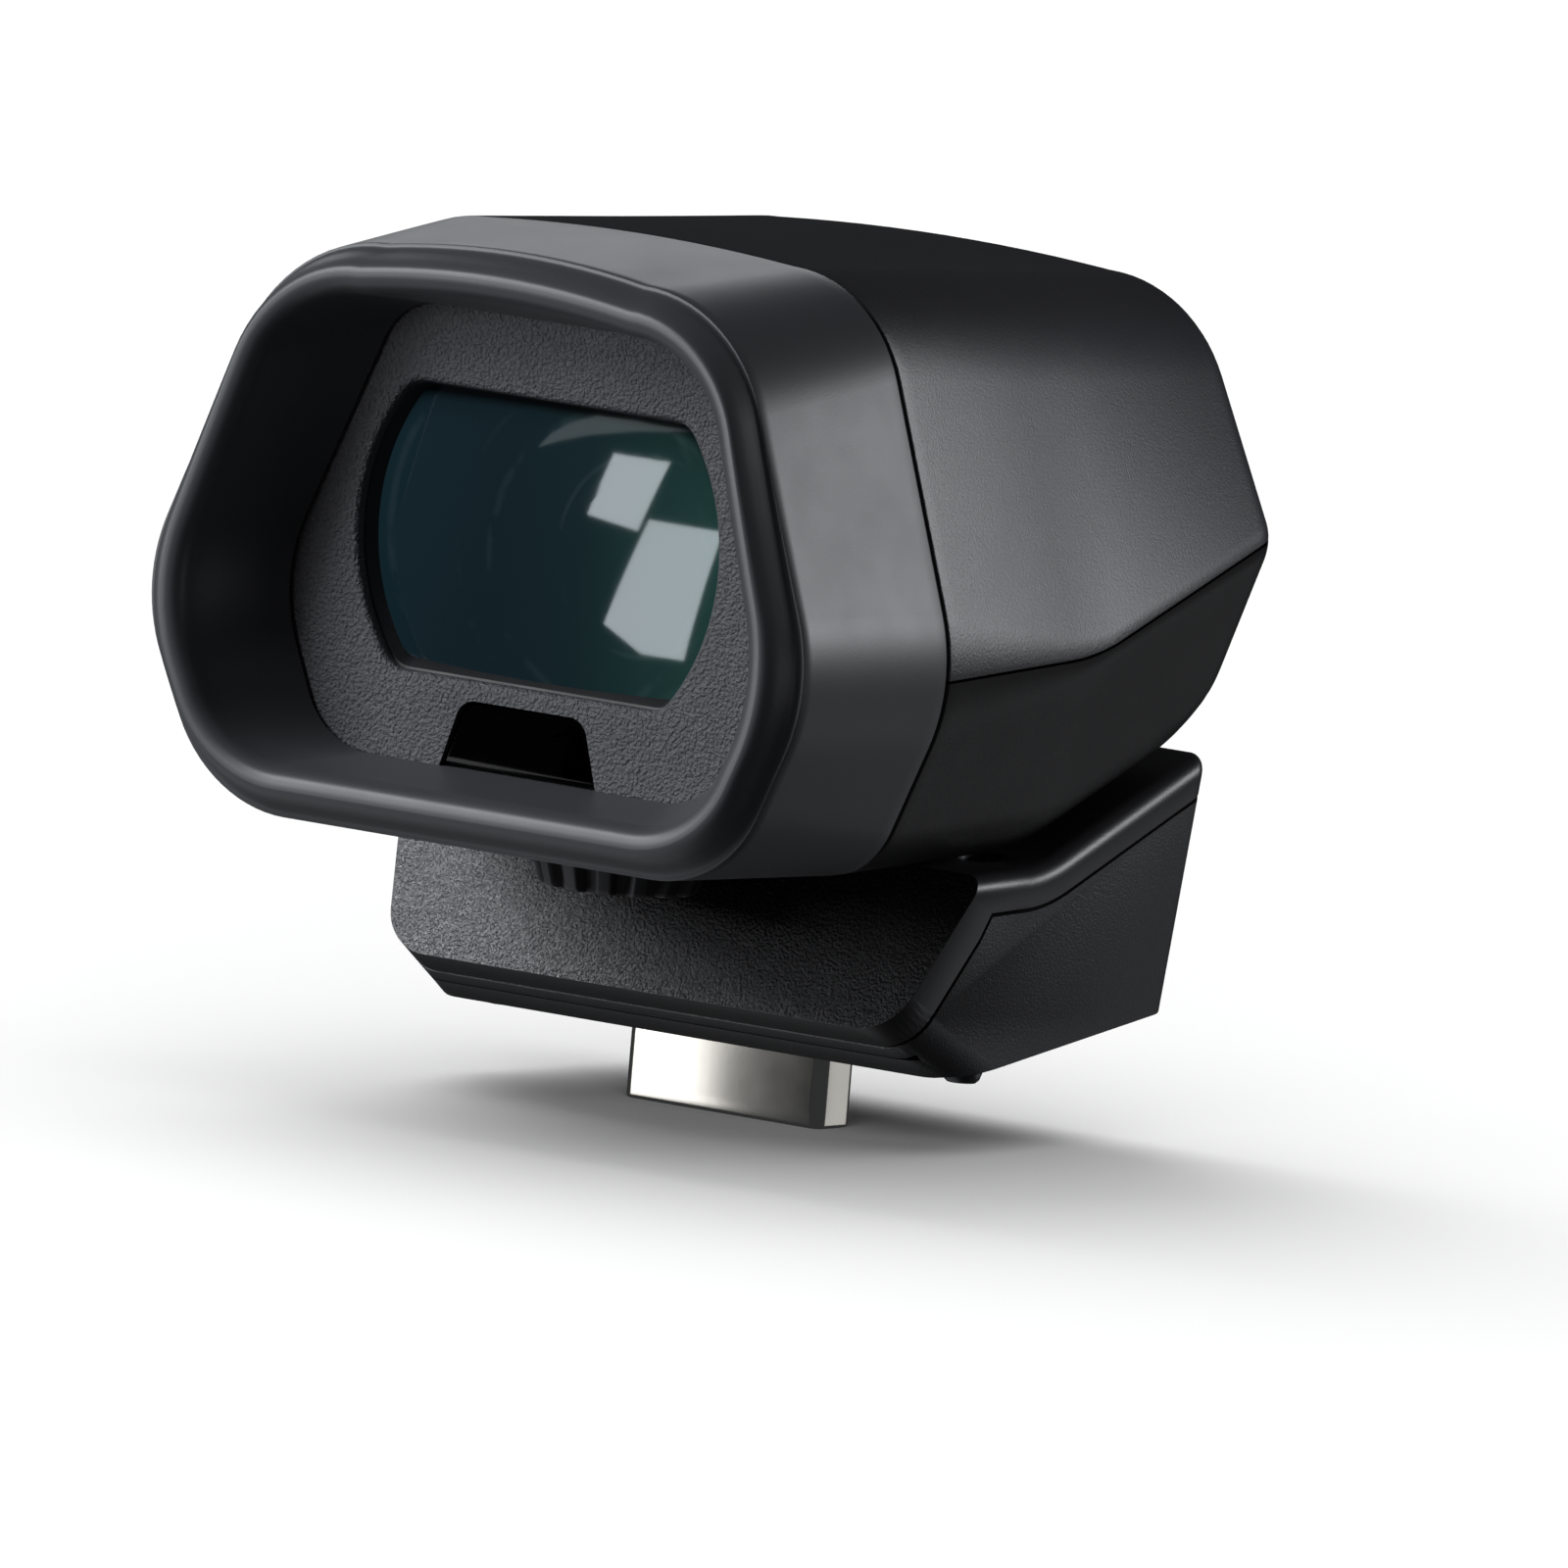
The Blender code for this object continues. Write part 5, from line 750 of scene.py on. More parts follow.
def underside_rise(depth, wall=0.0):
    """The head's underside: nearly flat, then a ramp up, then round about the hinge."""
    radius = HINGE_ROUND - wall
    start = ramp_start(wall)
    if depth <= start - KNEE_ROUND:
        return flat_rise(depth, wall)
    if depth < start + KNEE_ROUND:
        before, after = math.tan(FLAT), math.tan(RAMP)
        return eased(flat_rise(start - KNEE_ROUND, wall), before, after, KNEE_ROUND, depth - start)
    if depth <= round_start(wall):
        return ramp_rise(depth, wall)
    across = min(depth - HINGE[0], radius)
    return HINGE[1] - math.sqrt(max(radius * radius - across * across, 0.0))


REAR = HINGE[0] + HINGE_ROUND
REAR_EDGE = 2.0


def parting_rise(depth):
    before = (KINK_RISE - SEAM_M[1]) / (KINK - SEAM)
    after = (REAR_M[1] - KINK_RISE) / (REAR - KINK)
    past = depth - KINK
    if past <= -KINK_ROUND:
        return KINK_RISE + past * before
    if past >= KINK_ROUND:
        return KINK_RISE + past * after
    return eased(KINK_RISE - KINK_ROUND * before, before, after, KINK_ROUND, past)


def head_outline(depth, wall=0.0, tuck=0.0):
    """The head's section, inset by wall, drawn in at the rounded rear edge, and tucked in at a seam."""
    share = (depth - SEAM) / (REAR - SEAM)
    edge = max(REAR_EDGE - wall, 0.3)
    past = depth - (REAR - wall - edge)
    pull = edge - math.sqrt(max(edge * edge - past * past, 0.0)) if past > 0 else 0.0
    whole = wall + pull + tuck
    bottom_rise = underside_rise(depth, wall) - wall - pull
    top = pair(SEAM_T, REAR_T, share)
    middle = (blend(SEAM_M[0], REAR_M[0], share), parting_rise(depth))
    seam_lean = (SEAM_M[0] - SEAM_B[0]) / (SEAM_M[1] - SEAM_B[1])
    rear_lean = (REAR_M[0] - REAR_B[0]) / (REAR_M[1] - REAR_B[1])
    lean = blend(seam_lean, rear_lean, share)
    bottom = (middle[0] - (middle[1] - bottom_rise) * lean, bottom_rise)
    middle_round = blend(SEAM_R[1], REAR_MIDDLE_ROUND, min(2 * share, 1.0)) - whole
    rounds = six([blend(SEAM_R[0], REAR_TOP_ROUND, share) - whole, middle_round, SEAM_R[2] - whole])
    return rounded_ring(inset(six_corners(top, middle, bottom), whole), rounds, SEAM_CROWN)


def stations(first, wall=0.0):
    """The depths of a head loft's sections, closer together where its outline bends."""
    found = [first + STATION_GAP * i for i in range(STATION_COUNT)]
    for middle, reach in ((KINK, KINK_ROUND), (ramp_start(wall), KNEE_ROUND)):
        found += [middle + reach * k / BEND_STEPS for k in range(-BEND_STEPS, BEND_STEPS + 1)]
    radius = HINGE_ROUND - wall
    for i in range(HINGE_STEPS + 1):
        angle = RAMP + (math.pi / 2 - RAMP) * i / HINGE_STEPS
        found.append(HINGE[0] + radius * math.sin(angle))
    last = REAR - wall
    kept = []
    for depth in sorted(d for d in found if first <= d <= last):
        if not kept or depth - kept[-1] > 0.12 or depth > last - 0.2:
            kept.append(depth)
    return kept


def head_solid(name, first, wall=0.0, lip=False):
    rings = []
    depths = stations(first, wall)
    if lip:
        for back, tuck in ((0.0, 0.22), (0.05, 0.08), (0.14, 0.015)):
            rings.append(at_depth(head_outline(first + back, wall, tuck), first + back))
        depths = [first + 0.24] + [d for d in depths if d > first + 0.3]
    rings += [at_depth(head_outline(d, wall), d) for d in depths]
    return loft(name, rings)


def parting_depths():
    return [SEAM - PAST] + stations(SEAM) + [REAR + PAST]


def parting_cutter(name, side):
    """A cutter for everything above (1) or below (-1) the parting line, and for half its gap."""
    depths = parting_depths()
    outline = [(d, parting_rise(d) - side * PARTING_HALF_GAP) for d in depths]
    outline += [(depths[-1], side * 50.0), (depths[0], side * 50.0)]
    return prism_x(name, outline, -TOOL_HALF, TOOL_HALF)


def parting_slab(name, low, high):
    """A sheet that follows the parting line, from low to high above it."""
    depths = parting_depths()
    outline = [(d, parting_rise(d) + low) for d in depths]
    outline += [(d, parting_rise(d) + high) for d in reversed(depths)]
    return prism_x(name, outline, -TOOL_HALF, TOOL_HALF)


def pillar(name, x, depth, low, high, radius, steps=32):
    return cylinder(name, place(x, depth, low), radius, high - low, "Z", steps)


SCREW_SPOTS = [(side * 18.3, depth) for depth in (25.0, 43.0) for side in SIDES]


def shells():
    """The two head shells. A lip on the lower one sits in a rebate of the upper one."""
    front = SEAM + 0.3
    behind = front - 3.0
    upper = head_solid("upper_shell_moulding", front, 0.0, True)
    rebate = head_solid("rebate", behind, 0.9)
    combine(rebate, parting_slab("rebate_slab", -1.0, 0.95), "INTERSECT")
    cut(upper, head_solid("hollow", behind, WALL), parting_cutter("below", -1), rebate)
    soften(upper, 0.16, 3, 50.0)
    dress(upper, SHELL)
    lower = head_solid("lower_shell_moulding", front, 0.0, True)
    cut(lower, head_solid("hollow", behind, WALL), parting_cutter("above", 1))
    for x, depth in SCREW_SPOTS:
        floor = underside_rise(depth)
        combine(lower, pillar("boss", x, depth, floor + 0.9, -8.0, BOSS_RADIUS), "UNION")
        cut(lower, pillar("hole", x, depth, floor - PAST, -2.0, HOLE_RADIUS),
            pillar("sink", x, depth, floor - PAST, floor + 1.3, SINK_RADIUS))
    cut(lower, pillar("knob_hole", 0.0, KNOB_DEPTH, -28.0, -16.0, 3.0, 48),
        box("slot", place(-NECK_HALF, 43.8, -28.0), place(NECK_HALF, REAR + PAST, -5.6)),
        cylinder("clear", place(-NECK_HALF, *HINGE), 8.4, 2 * NECK_HALF, "X", 64))
    soften(lower, 0.16, 3, 50.0)
    lip = head_solid("lip", front + 0.5, 1.05)
    cut(lip, head_solid("lip_hollow", behind, WALL + 0.1))
    combine(lip, parting_slab("lip_slab", -0.6, 0.8), "INTERSECT")
    combine(lower, lip, "UNION")
    for side in SIDES:
        cut(lower, pillar("arm_hole", side * 13.9, 33.7, -20.3, -12.0, 1.05))
    weld(lower)
    dress(lower, LOWER)
    return upper, lower


# Base
CRADLE = 0.6
FRONT, FOOT_DEPTH, SOLE_FRONT, BASE_REAR = 29.9, 24.5, 31.3, 57.8
TOP_HALF, FOOT_HALF, SOLE_FRONT_HALF = 26.4, 22.8, 24.3
REAR_HALF, SOLE_REAR_HALF = 26.1, 23.8
FOOT_RISE = -33.7
SOLE_SLOPE = math.tan(math.radians(8.4))
COVER = 2.9
COVER_GAP = 0.3
HOUSING_SKIN = 1.7
PLUG_HALF_WIDTH, PLUG_HALF_DEPTH, PLUG_CORNER = 8.9, 2.15, 0.9


def base_top_rise(depth):
    return max(flat_rise(depth, -CRADLE), ramp_rise(depth, -CRADLE))


def sole_rise(depth):
    return -AXIS_HEIGHT + (depth - PLUG_DEPTH) * SOLE_SLOPE


def base_path():
    knee = ramp_start(-CRADLE)
    points = [
        Vector((FOOT_DEPTH, FOOT_RISE)),
        Vector((FRONT, base_top_rise(FRONT))),
        Vector((knee, base_top_rise(knee))),
        Vector((BASE_REAR, base_top_rise(BASE_REAR))),
    ]
    bend = corner_arc(points[1], points[2], points[3], 14.0, 12)
    return points[:2] + bend + points[3:]


def base_solid(name):
    """The whole base before it is parted, with its front corners and its top edges rounded."""
    path = base_path()
    halves = [FOOT_HALF]
    for point in path[1:]:
        halves.append(blend(TOP_HALF, REAR_HALF, (point.x - FRONT) / (BASE_REAR - FRONT)))
    path = path + [Vector((BASE_REAR, sole_rise(BASE_REAR))), Vector((SOLE_FRONT, sole_rise(SOLE_FRONT)))]
    halves += [SOLE_REAR_HALF, SOLE_FRONT_HALF]
    rings = [[place(side * half, p.x, p.y) for p, half in zip(path, halves)] for side in SIDES]
    made = loft(name, rings)
    mesh_data = bmesh.new()
    mesh_data.from_mesh(made.data)
    count = len(path)
    spots = {(i, side): place(side * half, p.x, p.y)
             for i, (p, half) in enumerate(zip(path, halves)) for side in SIDES}

    def edge(first, second):
        ends = [min(mesh_data.verts, key=lambda v: (v.co - spots[key]).length) for key in (first, second)]
        return mesh_data.edges.get(ends)

    def bevel(edges, width, steps):
        bmesh.ops.bevel(mesh_data, geom=[e for e in edges if e], offset=width * MM, segments=steps,
                        profile=0.5, affect="EDGES", clamp_overlap=True)

    bevel([edge((0, side), (count - 1, side)) for side in SIDES], 3.2, 10)
    rear = count - 3
    top = [edge((i, side), (i + 1, side)) for i in range(1, count - 2) for side in SIDES]
    bevel(top + [edge((rear, -1), (rear, 1))], 1.6, 8)
    mesh_data.to_mesh(made.data)
    mesh_data.free()
    return made


def offset_path(points, distance):
    """The same run of points, moved to one side."""
    moved = []
    count = len(points)
    for i, here in enumerate(points):
        runs = []
        if i > 0:
            runs.append((here - points[i - 1]).normalized())
        if i < count - 1:
            runs.append((points[i + 1] - here).normalized())
        normals = [Vector((-r.y, r.x)) for r in runs]
        total = sum(normals, Vector((0.0, 0.0)))
        moved.append(here + total * (distance / (total.dot(normals[0]))))
    return moved


def parting_prism(name, distance):
    """Everything under the line that runs at a distance below the base's top and front."""
    path = base_path()
    start = path[0] + (path[0] - path[1]).normalized() * PAST
    end = path[-1] + (path[-1] - path[-2]).normalized() * PAST
    moved = offset_path([start] + path[1:-1] + [end], -distance)
    outline = moved + [Vector((moved[-1].x, -52.0)), Vector((moved[0].x, -52.0))]
    return prism_x(name, outline, -36.0, 36.0)


BASE_SCREWS = [(side * x, depth) for x, depth in ((14.6, 39.6), (17.6, 51.0)) for side in SIDES]
MEET = -28.0


def cover():
    """The base's top cover. A rim under it locates it inside the housing."""
    made = base_solid("cover_moulding")
    cut(made, parting_prism("below", COVER))
    for x, depth in BASE_SCREWS:
        top = base_top_rise(depth) - COVER / 2
        combine(made, pillar("boss", x, depth, MEET + 0.3, top, BOSS_RADIUS), "UNION")
        cut(made, pillar("hole", x, depth, MEET - PAST, MEET + 2.3, HOLE_RADIUS))
    neck_low, neck_high = place(-NECK_HALF, HINGE[0] - 4.4, -34.0), place(NECK_HALF, HINGE[0] + 4.4, HINGE[1])
    cut(made, box("neck_hole", neck_low, neck_high))
    for side in SIDES:
        cut(made, pillar("key_hole", side * CAPTIVE_X, CAPTIVE_DEPTH, -30.0, -14.0, 1.6))
    soften(made, 0.14, 3, 48.0)
    rim = housing_cavity("rim", HOUSING_SKIN + 0.15)
    cut(rim, housing_cavity("rim_hollow", HOUSING_SKIN + 0.95), parting_prism("rim_end", COVER + 1.4))
    combine(rim, parting_prism("rim_start", COVER - 0.4), "INTERSECT")
    for side in SIDES:
        cut(rim, pillar("screw_room", side * CAPTIVE_X, CAPTIVE_DEPTH, -42.0, -10.0, 3.2, 48))
    combine(made, rim, "UNION")
    weld(made)
    dress(made, BASE, PANEL)
    path = base_path()
    lean = (path[1] - path[0]).normalized()
    facing = Vector((0.0, -lean.y, lean.x))
    for face in made.data.polygons:
        if face.normal.dot(facing) > 0.999:
            face.material_index = 1
    return made


def housing_cavity(name, skin=HOUSING_SKIN):
    """The room inside the housing, inset from the outside by skin."""
    path = base_path()
    start = path[0] + (path[0] - path[1]).normalized() * PAST
    front = offset_path([start, path[1], path[2]], -(COVER + COVER_GAP + skin))
    floor_front = sole_rise(front[0].x) + skin
    direction = (front[1] - front[0]).normalized()
    low = front[0] + direction * ((floor_front - front[0].y) / direction.y)
    low = low + Vector((0.0, sole_rise(low.x) + skin - low.y))
    rear = BASE_REAR - skin
    top = base_top_rise(BASE_REAR) + PAST
    high = front[0] + direction * ((top - front[0].y) / direction.y)
    outline = [low, high, Vector((rear, top)), Vector((rear, sole_rise(rear) + skin))]
    bottom_half = min(SOLE_FRONT_HALF, SOLE_REAR_HALF) - skin
    lean = (TOP_HALF - SOLE_FRONT_HALF) / (base_top_rise(FRONT) - floor_front)
    rings = []
    for side in SIDES:
        rings.append([place(side * (bottom_half + lean * (p.y - floor_front)), p.x, p.y) for p in outline])
    return loft(name, rings)


def plug_ring(margin):
    wide, deep = PLUG_HALF_WIDTH + margin, PLUG_HALF_DEPTH + margin
    corners = [Vector((wide, -deep)), Vector((wide, deep)), Vector((-wide, deep)), Vector((-wide, -deep))]
    radius = max(PLUG_CORNER + margin, 0.25)
    ring = []
    for i in range(4):
        ring.extend(corner_arc(corners[i - 1], corners[i], corners[(i + 1) % 4], radius, PLUG_CORNER_STEPS))
    return ring


def plug_level(margin, rise):
    return [place(x, PLUG_DEPTH + along, rise) for x, along in plug_ring(margin)]


def housing():
    """The base's lower housing, with bosses for the screws and tubes for the captive screws."""
    made = base_solid("housing_moulding")
    soften(made, 0.55, 5, 50.0)
    combine(made, parting_prism("keep", COVER + COVER_GAP), "INTERSECT")
    cut(made, housing_cavity("cavity"))
    for side in SIDES:
        floor = sole_rise(CAPTIVE_DEPTH) + HOUSING_SKIN / 2
        top = base_top_rise(CAPTIVE_DEPTH) - COVER - 2.8
        combine(made, pillar("tube", side * CAPTIVE_X, CAPTIVE_DEPTH, floor, top, 2.9), "UNION")
        cut(made, pillar("bore", side * CAPTIVE_X, CAPTIVE_DEPTH, floor - PAST, top + PAST, 1.8, 40))
    for x, depth in BASE_SCREWS:
        floor = sole_rise(depth) + HOUSING_SKIN / 2
        combine(made, pillar("boss", x, depth, floor, MEET, BOSS_RADIUS), "UNION")
        cut(made, pillar("hole", x, depth, floor - PAST, MEET + PAST, HOLE_RADIUS),
            pillar("sink", x, depth, floor - PAST, sole_rise(depth) + 1.6, SINK_RADIUS, 40))
    levels = (-AXIS_HEIGHT - PAST, sole_rise(PLUG_DEPTH) + PAST)
    cut(made, loft("plug_hole", [plug_level(0.3, rise) for rise in levels]))
    soften(made, 0.14, 3, 60.0)
    return dress(made, HOUSING)


def barrel():
    """The round knuckle with its neck and foot."""
    floor = node_rises("hinge_barrel")[0]
    profile = [(0.0, -8.5), (6.4, -8.5), (6.6, -8.35), (7.5, -8.35), (7.78, -8.28), (7.94, -8.14),
               (8.0, -7.9)]
    full = profile + [(r, -a) for r, a in reversed(profile)]
    made = turned("hinge_knuckle", place(0.0, *HINGE), full, "X", 96, 40.0)
    for name, half, low, high in (("neck", 8.5, floor + 1.0, HINGE[1]), ("foot", 12.0, floor, floor + 2.4)):
        block = box(name, place(-half, HINGE[0] - 4.0, low), place(half, HINGE[0] + 4.0, high))
        combine(made, block, "UNION")
    slot_low = place(-3.6, HINGE[0] - 1.0, floor - 4.0)
    slot_high = place(3.6, HINGE[0] + 1.0, HINGE[1] + 12.0)
    cut(made, cylinder("bore", place(-15.0, *HINGE), 2.3, 30.0, "X", 40), box("slot", slot_low, slot_high))
    for side in SIDES:
        cut(made, pillar("hole", side * 10.25, HINGE[0], floor - 4.0, floor + 8.0, HOLE_RADIUS))
    soften(made, 0.15, 3, 50.0)
    return dress(made, BARREL)


# Knob, plug, captive screws
THREAD_PITCH = 0.5


def node_rises(node):
    """The lowest and highest rise of a CAD node."""
    low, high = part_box(node)
    return low[2] / MM - AXIS_HEIGHT, high[2] / MM - AXIS_HEIGHT


def knob():
    """A wheel with fourteen rounded lugs that taper downwards, and its shaft."""
    top = underside_rise(KNOB_DEPTH - KNOB_RADIUS) - 0.6
    foot, deep = 5.95, 3.3

    def ring(size, lug, rise):
        points = []
        for i in range(LUGS * LUG_POINTS):
            phase = (i % LUG_POINTS) / LUG_POINTS
            wave = 0.5 + 0.5 * math.cos(2 * math.pi * phase)
            wave = min(max((wave - 0.22) / 0.5, 0.0), 1.0)
            wave = wave * wave * (3 - 2 * wave)
            radius = size - lug * (1 - wave)
            turn = 2 * math.pi * i / (LUGS * LUG_POINTS) + math.pi / LUGS
            points.append(place(radius * math.cos(turn), KNOB_DEPTH + radius * math.sin(turn), rise))
        return points

    rings = []
    for margin, lug, down in ((0.6, 0.5, 0.0), (0.3, 0.8, 0.03), (0.08, 0.95, 0.16), (0.0, 1.0, 0.4)):
        rings.append(ring(KNOB_RADIUS - margin, lug, top - down))
    for i in range(1, TAPER_STEPS):
        share = i / TAPER_STEPS
        rings.append(ring(blend(KNOB_RADIUS, foot, share), 1.0, top - blend(0.4, deep - 0.45, share)))
    for size, lug, up in ((foot, 0.95, 0.4), (foot - 0.12, 0.85, 0.14), (foot - 0.36, 0.7, 0.02),
                          (foot - 0.9, 0.3, 0.0), (foot - 1.5, 0.0, 0.25), (2.4, 0.0, 0.3)):
        rings.append(ring(size, lug, top - deep + up))
    made = loft("focus_wheel", rings, smooth_angle=40.0)
    shaft_top = node_rises("focus_knob")[1]
    clip_low = node_rises("knob_clip")[0]
    start = top - deep / 2
    collar = clip_low + 1.15
    levels = ((0.0, start), (2.7, start), (2.7, clip_low - 0.2), (2.2, clip_low - 0.2), (2.2, clip_low + 0.8),
              (2.7, clip_low + 0.8), (2.7, collar), (0.0, collar))
    profile = [(radius, level - start) for radius, level in levels]
    combine(made, turned("shaft", place(0.0, KNOB_DEPTH, start), profile), "UNION")
    combine(made, pillar("pin", 1.6, KNOB_DEPTH, collar - 0.2, shaft_top, 0.7, 24), "UNION")
    shade(made, 40.0)
    return dress(made, KNOB)


def plug():
    """The open metal sleeve, its end rounded outside and in."""
    bottom, top = node_rises("plug_shell")
    rings = []
    for margin, rise in ((0.0, top), (0.0, bottom + 1.3), (0.0, bottom + 0.3), (-0.03, bottom + 0.14),
                         (-0.09, bottom + 0.05), (-0.18, bottom), (-0.3, bottom), (-0.39, bottom + 0.04),
                         (-0.45, bottom + 0.16), (-0.45, bottom + 1.0), (-0.45, top)):
        rings.append(plug_level(margin, rise))
    return dress(loft("plug_sleeve", rings, closed=True, smooth_angle=42.0), NICKEL)


def captive(side, word):
    """A cap screw with a plain round recess, and with its thread as separate rings."""
    tip, top = node_rises("captive_screw_" + word)
    length = top - tip
    profile = [(0.0, -1.3), (1.2, -1.3), (1.2, -0.12), (1.32, 0.0), (2.1, 0.0), (2.24, -0.05), (2.3, -0.18),
               (2.3, -2.05), (2.2, -2.2), (1.5, -2.2)]
    level = -length + 3.6
    profile.append((1.5, level + 0.15))
    while level - THREAD_PITCH > -length + 0.35:
        profile += [(1.26, level - 0.06), (1.26, level - 0.16), (1.49, level - 0.27), (1.49, level - 0.35)]
        level -= THREAD_PITCH
    profile += [(1.3, -length + 0.22), (1.05, -length), (0.0, -length)]
    middle = place(side * CAPTIVE_X, CAPTIVE_DEPTH, top)
    return dress(turned("captive_screw_body_" + word, middle, profile, "Z", 48, 30.0), DARK_STEEL)


# Putting it together
def fit(piece, node, body):
    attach(piece, body)
    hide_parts(node)


def assemble():
    (upper, lower), top = shells(), cover()
    cup, glass, sleeve, window = eyecup(), lens(), plug(), sensor_window()
    fit(cup, "eyecup", "head")
    fit(bezel(), "eyepiece_bezel", "head")
    fit(glass, "eye_lens", "head")
    fit(window, "sensor_window", "head")
    fit(upper, "upper_shell", "head")
    fit(lower, "lower_shell", "head")
    fit(knob(), "focus_knob", "focus")
    fit(top, "base_top_cover", "base")
    fit(housing(), "base_lower_housing", "base")
    fit(barrel(), "hinge_barrel", "base")
    fit(sleeve, "plug_shell", "base")
    fit(captive(-1, "left"), "captive_screw_left", "screw_left")
    fit(captive(1, "right"), "captive_screw_right", "screw_right")
    liner = window_liner()
    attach(liner, "head")
    return glass, cup, sleeve, window, top, [upper, lower]


def repaint():
    """The small pieces inside keep their CAD shape and get finished materials."""
    finishes = {
        "eyepiece_frame": INNER, "lens_guide": INNER, "lens_carriage": KNOB, "inner_lens": GLASS,
        "knob_clip": STEEL, "display_holder": INNER, "display_panel": DARK, "display_board": BOARD,
        "display_driver": CHIP, "display_ribbon": AMBER, "proximity_sensor": CHIP, "sensor_board": BOARD,
        "shell_screw_": STEEL, "hinge_pin_": HINGE_STEEL, "friction_washer_": HINGE_STEEL,
        "hinge_arm_": HINGE_STEEL, "pin_nut_": STEEL, "arm_screw_": STEEL, "foot_screw_": STEEL,
        "connector_board": BOARD, "plug_tongue": CHIP, "base_ribbon": AMBER, "base_screw_": STEEL,
    }
    for name, node in NODES.items():
        for key, made in finishes.items():
            if name == key or (key.endswith("_") and name.startswith(key)):
                for held in node.material_slots:
                    held.link = "OBJECT"
                    held.material = made


# Camera, floor and light
AZIMUTH, ELEVATION, ROLL = math.radians(35.44), math.radians(6.669), math.radians(4.815)
AIM = Vector((0.0, 2.5, 17.2)) * MM
FOCAL_PIXELS, CAMERA_DISTANCE = 55827.0, 4.0
SENSOR_WIDTH, PHOTO_PIXELS = 36.0, 1600.0
FLOOR_HALF, FLOOR_LEVEL = 6.0, -0.0069
MIDDLE = (0.0, 0.0, 0.03)

# The panes mirrored in the eye lens: corners as x and z in metres, and brightness, all at one y
PANE_Y = -0.7
PANES = (
    ("pane_small", ((-0.397, 0.029), (-0.327, 0.030), (-0.359, -0.029), (-0.425, -0.025)), 9.0),
    ("pane_large", ((-0.346, -0.018), (-0.262, -0.016), (-0.303, -0.125), (-0.352, -0.128),
                    (-0.400, -0.111)), 8.5),
    ("pane_edge", ((-0.504, 0.020), (-0.486, 0.034), (-0.460, 0.046), (-0.425, 0.056), (-0.373, 0.058),
                   (-0.306, 0.057), (-0.371, 0.050), (-0.433, 0.039), (-0.474, 0.029)), 1.3),
)


def camera():
    side = Vector((math.cos(AZIMUTH), math.sin(AZIMUTH), 0.0))
    back = Vector((math.sin(AZIMUTH) * math.cos(ELEVATION), -math.cos(AZIMUTH) * math.cos(ELEVATION),
                   math.sin(ELEVATION)))
    upward = back.cross(side)
    right = side * math.cos(ROLL) + upward * math.sin(ROLL)
    over = upward * math.cos(ROLL) - side * math.sin(ROLL)
    lens_data = bpy.data.cameras.new("camera")
    lens_data.sensor_width = SENSOR_WIDTH
    lens_data.lens = SENSOR_WIDTH * FOCAL_PIXELS / PHOTO_PIXELS
    lens_data.clip_start = 0.05
    lens_data.clip_end = 30.0
    made = bpy.data.objects.new("camera", lens_data)
    bpy.context.scene.collection.objects.link(made)
    turn = Matrix((right, over, back)).transposed().to_4x4()
    made.matrix_world = Matrix.Translation(AIM + back * CAMERA_DISTANCE) @ turn
    bpy.context.scene.camera = made


def floor():
    mesh_data = bmesh.new()
    signs = ((-1, -1), (1, -1), (1, 1), (-1, 1))
    spots = [(x * FLOOR_HALF, y * FLOOR_HALF, FLOOR_LEVEL) for x, y in signs]
    mesh_data.faces.new([mesh_data.verts.new(spot) for spot in spots])
    made = object_from("floor", mesh_data)
    paint, _, shader = new_material("floor_paper")
    shader.inputs["Base Color"].default_value = (0.93, 0.93, 0.93, 1)
    shader.inputs["Roughness"].default_value = 1.0
    shader.inputs["Specular IOR Level"].default_value = 0.0
    dress(made, paint)
    made.visible_glossy = False
    made.visible_diffuse = False
    made.visible_shadow = False
    return made


def linked(name, items, state):
    """A light group: the objects are either the only ones lit or the only ones left out."""
    group = bpy.data.collections.new(name)
    for item in items:
        group.objects.link(item)
    for member in group.collection_objects:
        member.light_linking.link_state = state
    return group


def softbox(name, position, target, width, height, radiance, group, colour=(0.95, 0.97, 1.0)):
    """An area light that faces its target; radiance is its brightness seen head on."""
    data = bpy.data.lights.new(name, "AREA")
    data.shape = "RECTANGLE"
    data.size, data.size_y = width, height
    data.energy = radiance * math.pi * width * height
    data.color = colour
    made = bpy.data.objects.new(name, data)
    bpy.context.scene.collection.objects.link(made)
    where = Vector(position)
    facing = (Vector(target) - where).normalized()
    made.matrix_world = Matrix.Translation(where) @ facing.to_track_quat("-Z", "Y").to_matrix().to_4x4()
    made.light_linking.receiver_collection = group


def toward(direction, distance):
    """The point at a distance in metres from the object's middle."""
    return Vector(direction).normalized() * distance + Vector(MIDDLE)


def panel_light(name, corners, radiance, group):
    """A sheared softbox for one reflection: a glowing sheet that only mirrors show."""
    mesh_data = bmesh.new()
    mesh_data.faces.new([mesh_data.verts.new(Vector((x, PANE_Y, z))) for x, z in corners])
    made = object_from(name, mesh_data)
    glow = bpy.data.materials.new(name + "_glow")
    glow.use_nodes = True
    tree = glow.node_tree
    tree.nodes.clear()
    light = wired(tree, "Emission", {"Color": (0.86, 0.95, 1.0, 1), "Strength": radiance})
    wired(tree, "OutputMaterial", {"Surface": light.outputs[0]})
    dress(made, glow)
    made.visible_camera = False
    made.visible_diffuse = False
    made.visible_shadow = False
    made.light_linking.receiver_collection = group


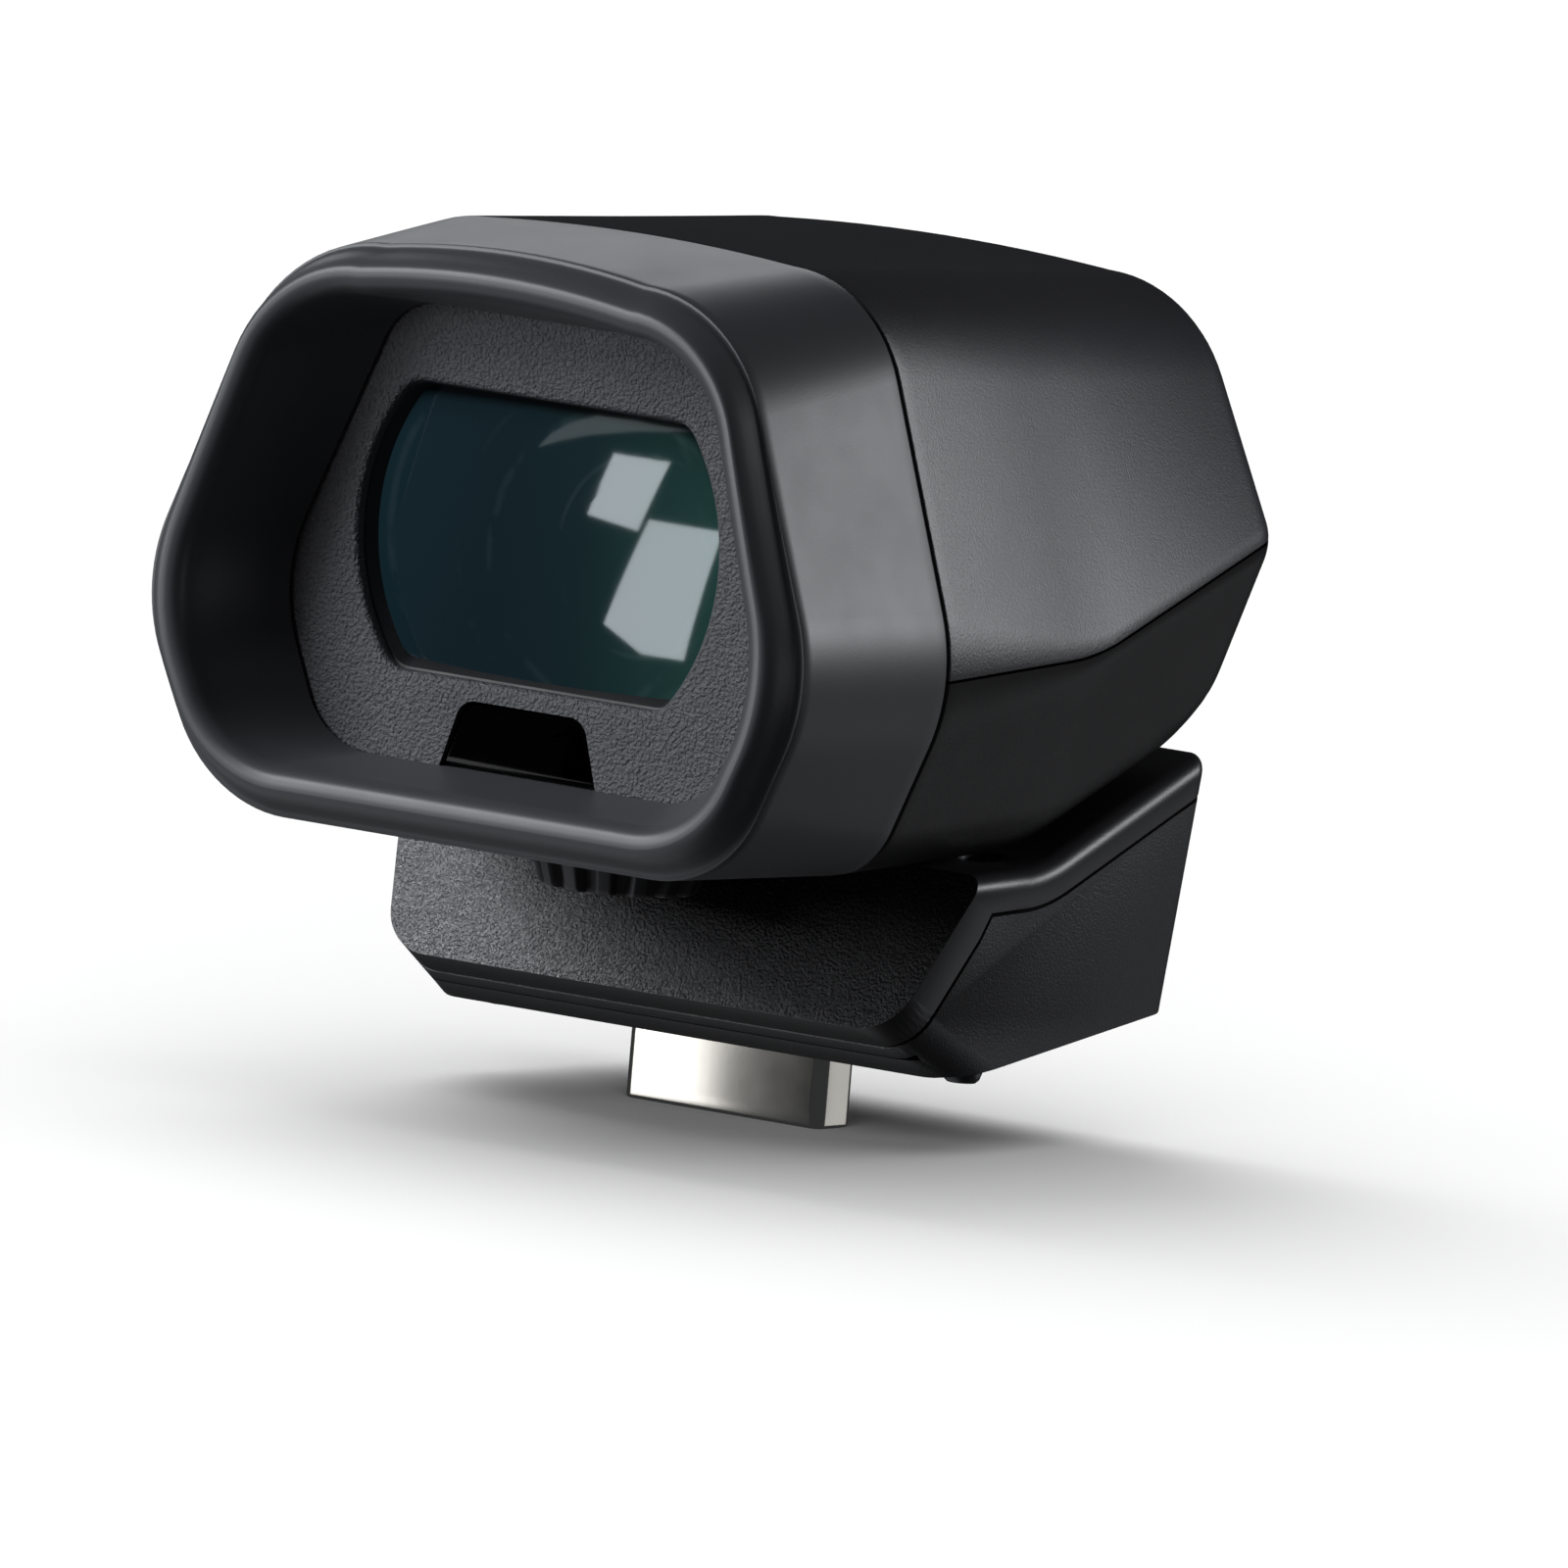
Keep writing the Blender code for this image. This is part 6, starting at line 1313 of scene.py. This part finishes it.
def lights(ground, glass, cup, sleeve, window, top, shell_parts):
    """All lights. Each group lights only the pieces it names, or all but those."""
    only_floor = linked("floor_only", [ground], "INCLUDE")
    only_glass = linked("glass_only", [glass], "INCLUDE")
    only_cup = linked("cup_only", [cup], "INCLUDE")
    only_plug = linked("plug_only", [sleeve], "INCLUDE")
    only_panel = linked("panel_only", [top], "INCLUDE")
    only_upper = linked("upper_only", shell_parts[:1], "INCLUDE")
    only_shell = linked("shell_only", shell_parts, "INCLUDE")
    apart = [ground, glass, sleeve, window]
    general = linked("all_but_floor", apart, "EXCLUDE")
    all_but_shell = linked("all_but_shell", apart + shell_parts, "EXCLUDE")
    all_but_panel = linked("all_but_panel", apart + [top], "EXCLUDE")
    white, plug_white = (1, 1, 1), (1.0, 0.99, 0.96)
    softbox("overhead", (-0.2, -0.1, 2.2), MIDDLE, 5.0, 5.0, 1.02, only_floor, white)
    softbox("floor_back", toward((-0.93, 0.38, 1.12), 3.0), MIDDLE, 2.6, 2.6, 2.5, only_floor, white)
    softbox("floor_front", toward((0.58, -0.81, 0.35), 3.0), MIDDLE, 3.0, 1.2, 3.3, only_floor, white)
    softbox("back_right", toward((0.70, 0.64, 0.27), 1.0), MIDDLE, 0.22, 0.20, 29.0, all_but_shell)
    softbox("shell_back", toward((0.70, 0.64, 0.27), 1.0), MIDDLE, 0.22, 0.20, 4.5, only_shell)
    softbox("shell_side", (0.064, 0.0185, 0.064), (0.030, -0.018, 0.042), 0.02, 0.06, 8.0, only_upper)
    softbox("cup_right", toward((0.985, -0.11, -0.08), 1.0), (0.0, -0.035, 0.036), 0.14, 0.3, 2.5, only_cup)
    for name, direction, distance, width, height, radiance, group in (
        ("bounce", (-0.50, -0.20, -0.84), 1.0, 1.0, 1.0, 0.45, general),
        ("cup_top", (-0.62, 0.76, 0.42), 1.0, 0.5, 0.3, 2.0, only_cup),
        ("high_left", (-0.58, -0.61, 0.52), 1.0, 0.42, 0.42, 13.0, general),
        ("front_left", (-0.62, -0.76, 0.08), 1.0, 0.5, 0.4, 8.0, all_but_panel),
        ("panel_high", (-0.76, -0.50, 0.42), 1.0, 0.4, 0.4, 26.0, only_panel),
        ("panel_low", (-0.62, -0.76, 0.16), 1.0, 0.5, 0.2, 7.0, only_panel),
        ("from_below", (0.46, 0.81, -0.40), 1.0, 0.6, 0.3, 0.5, general),
        ("glass_tint", (0.25, -0.80, 0.60), 0.6, 0.25, 0.25, 14.5, only_glass),
    ):
        softbox(name, toward(direction, distance), MIDDLE, width, height, radiance, group)
    for name, corners, radiance in PANES:
        panel_light(name, corners, radiance, only_glass)
    plug_middle = Vector((0.0, -0.002, -0.004))
    for name, away, radiance in (("plug_left", (-0.1300, -0.131, -0.0187), 2.2),
                                 ("plug_end", (0.0866, 0.121, -0.0172), 0.5)):
        softbox(name, plug_middle + Vector(away), plug_middle, 0.05, 0.06, radiance, only_plug, plug_white)
    world = bpy.data.worlds.new("studio")
    bpy.context.scene.world = world
    world.use_nodes = True
    tree = world.node_tree
    sky = tree.nodes["Background"]
    sky.inputs["Color"].default_value = (0.93, 0.96, 1.0, 1)
    seen = wired(tree, "LightPath", {}).outputs["Is Camera Ray"]
    level = wired(tree, "MapRange", {"To Min": 0.035, "To Max": 1.0, "Value": seen})
    tree.links.new(level.outputs["Result"], sky.inputs["Strength"])
    bpy.context.scene.view_settings.view_transform = "Standard"
    bpy.context.scene.view_settings.look = "None"


pieces = assemble()
repaint()
camera()
lights(floor(), *pieces)
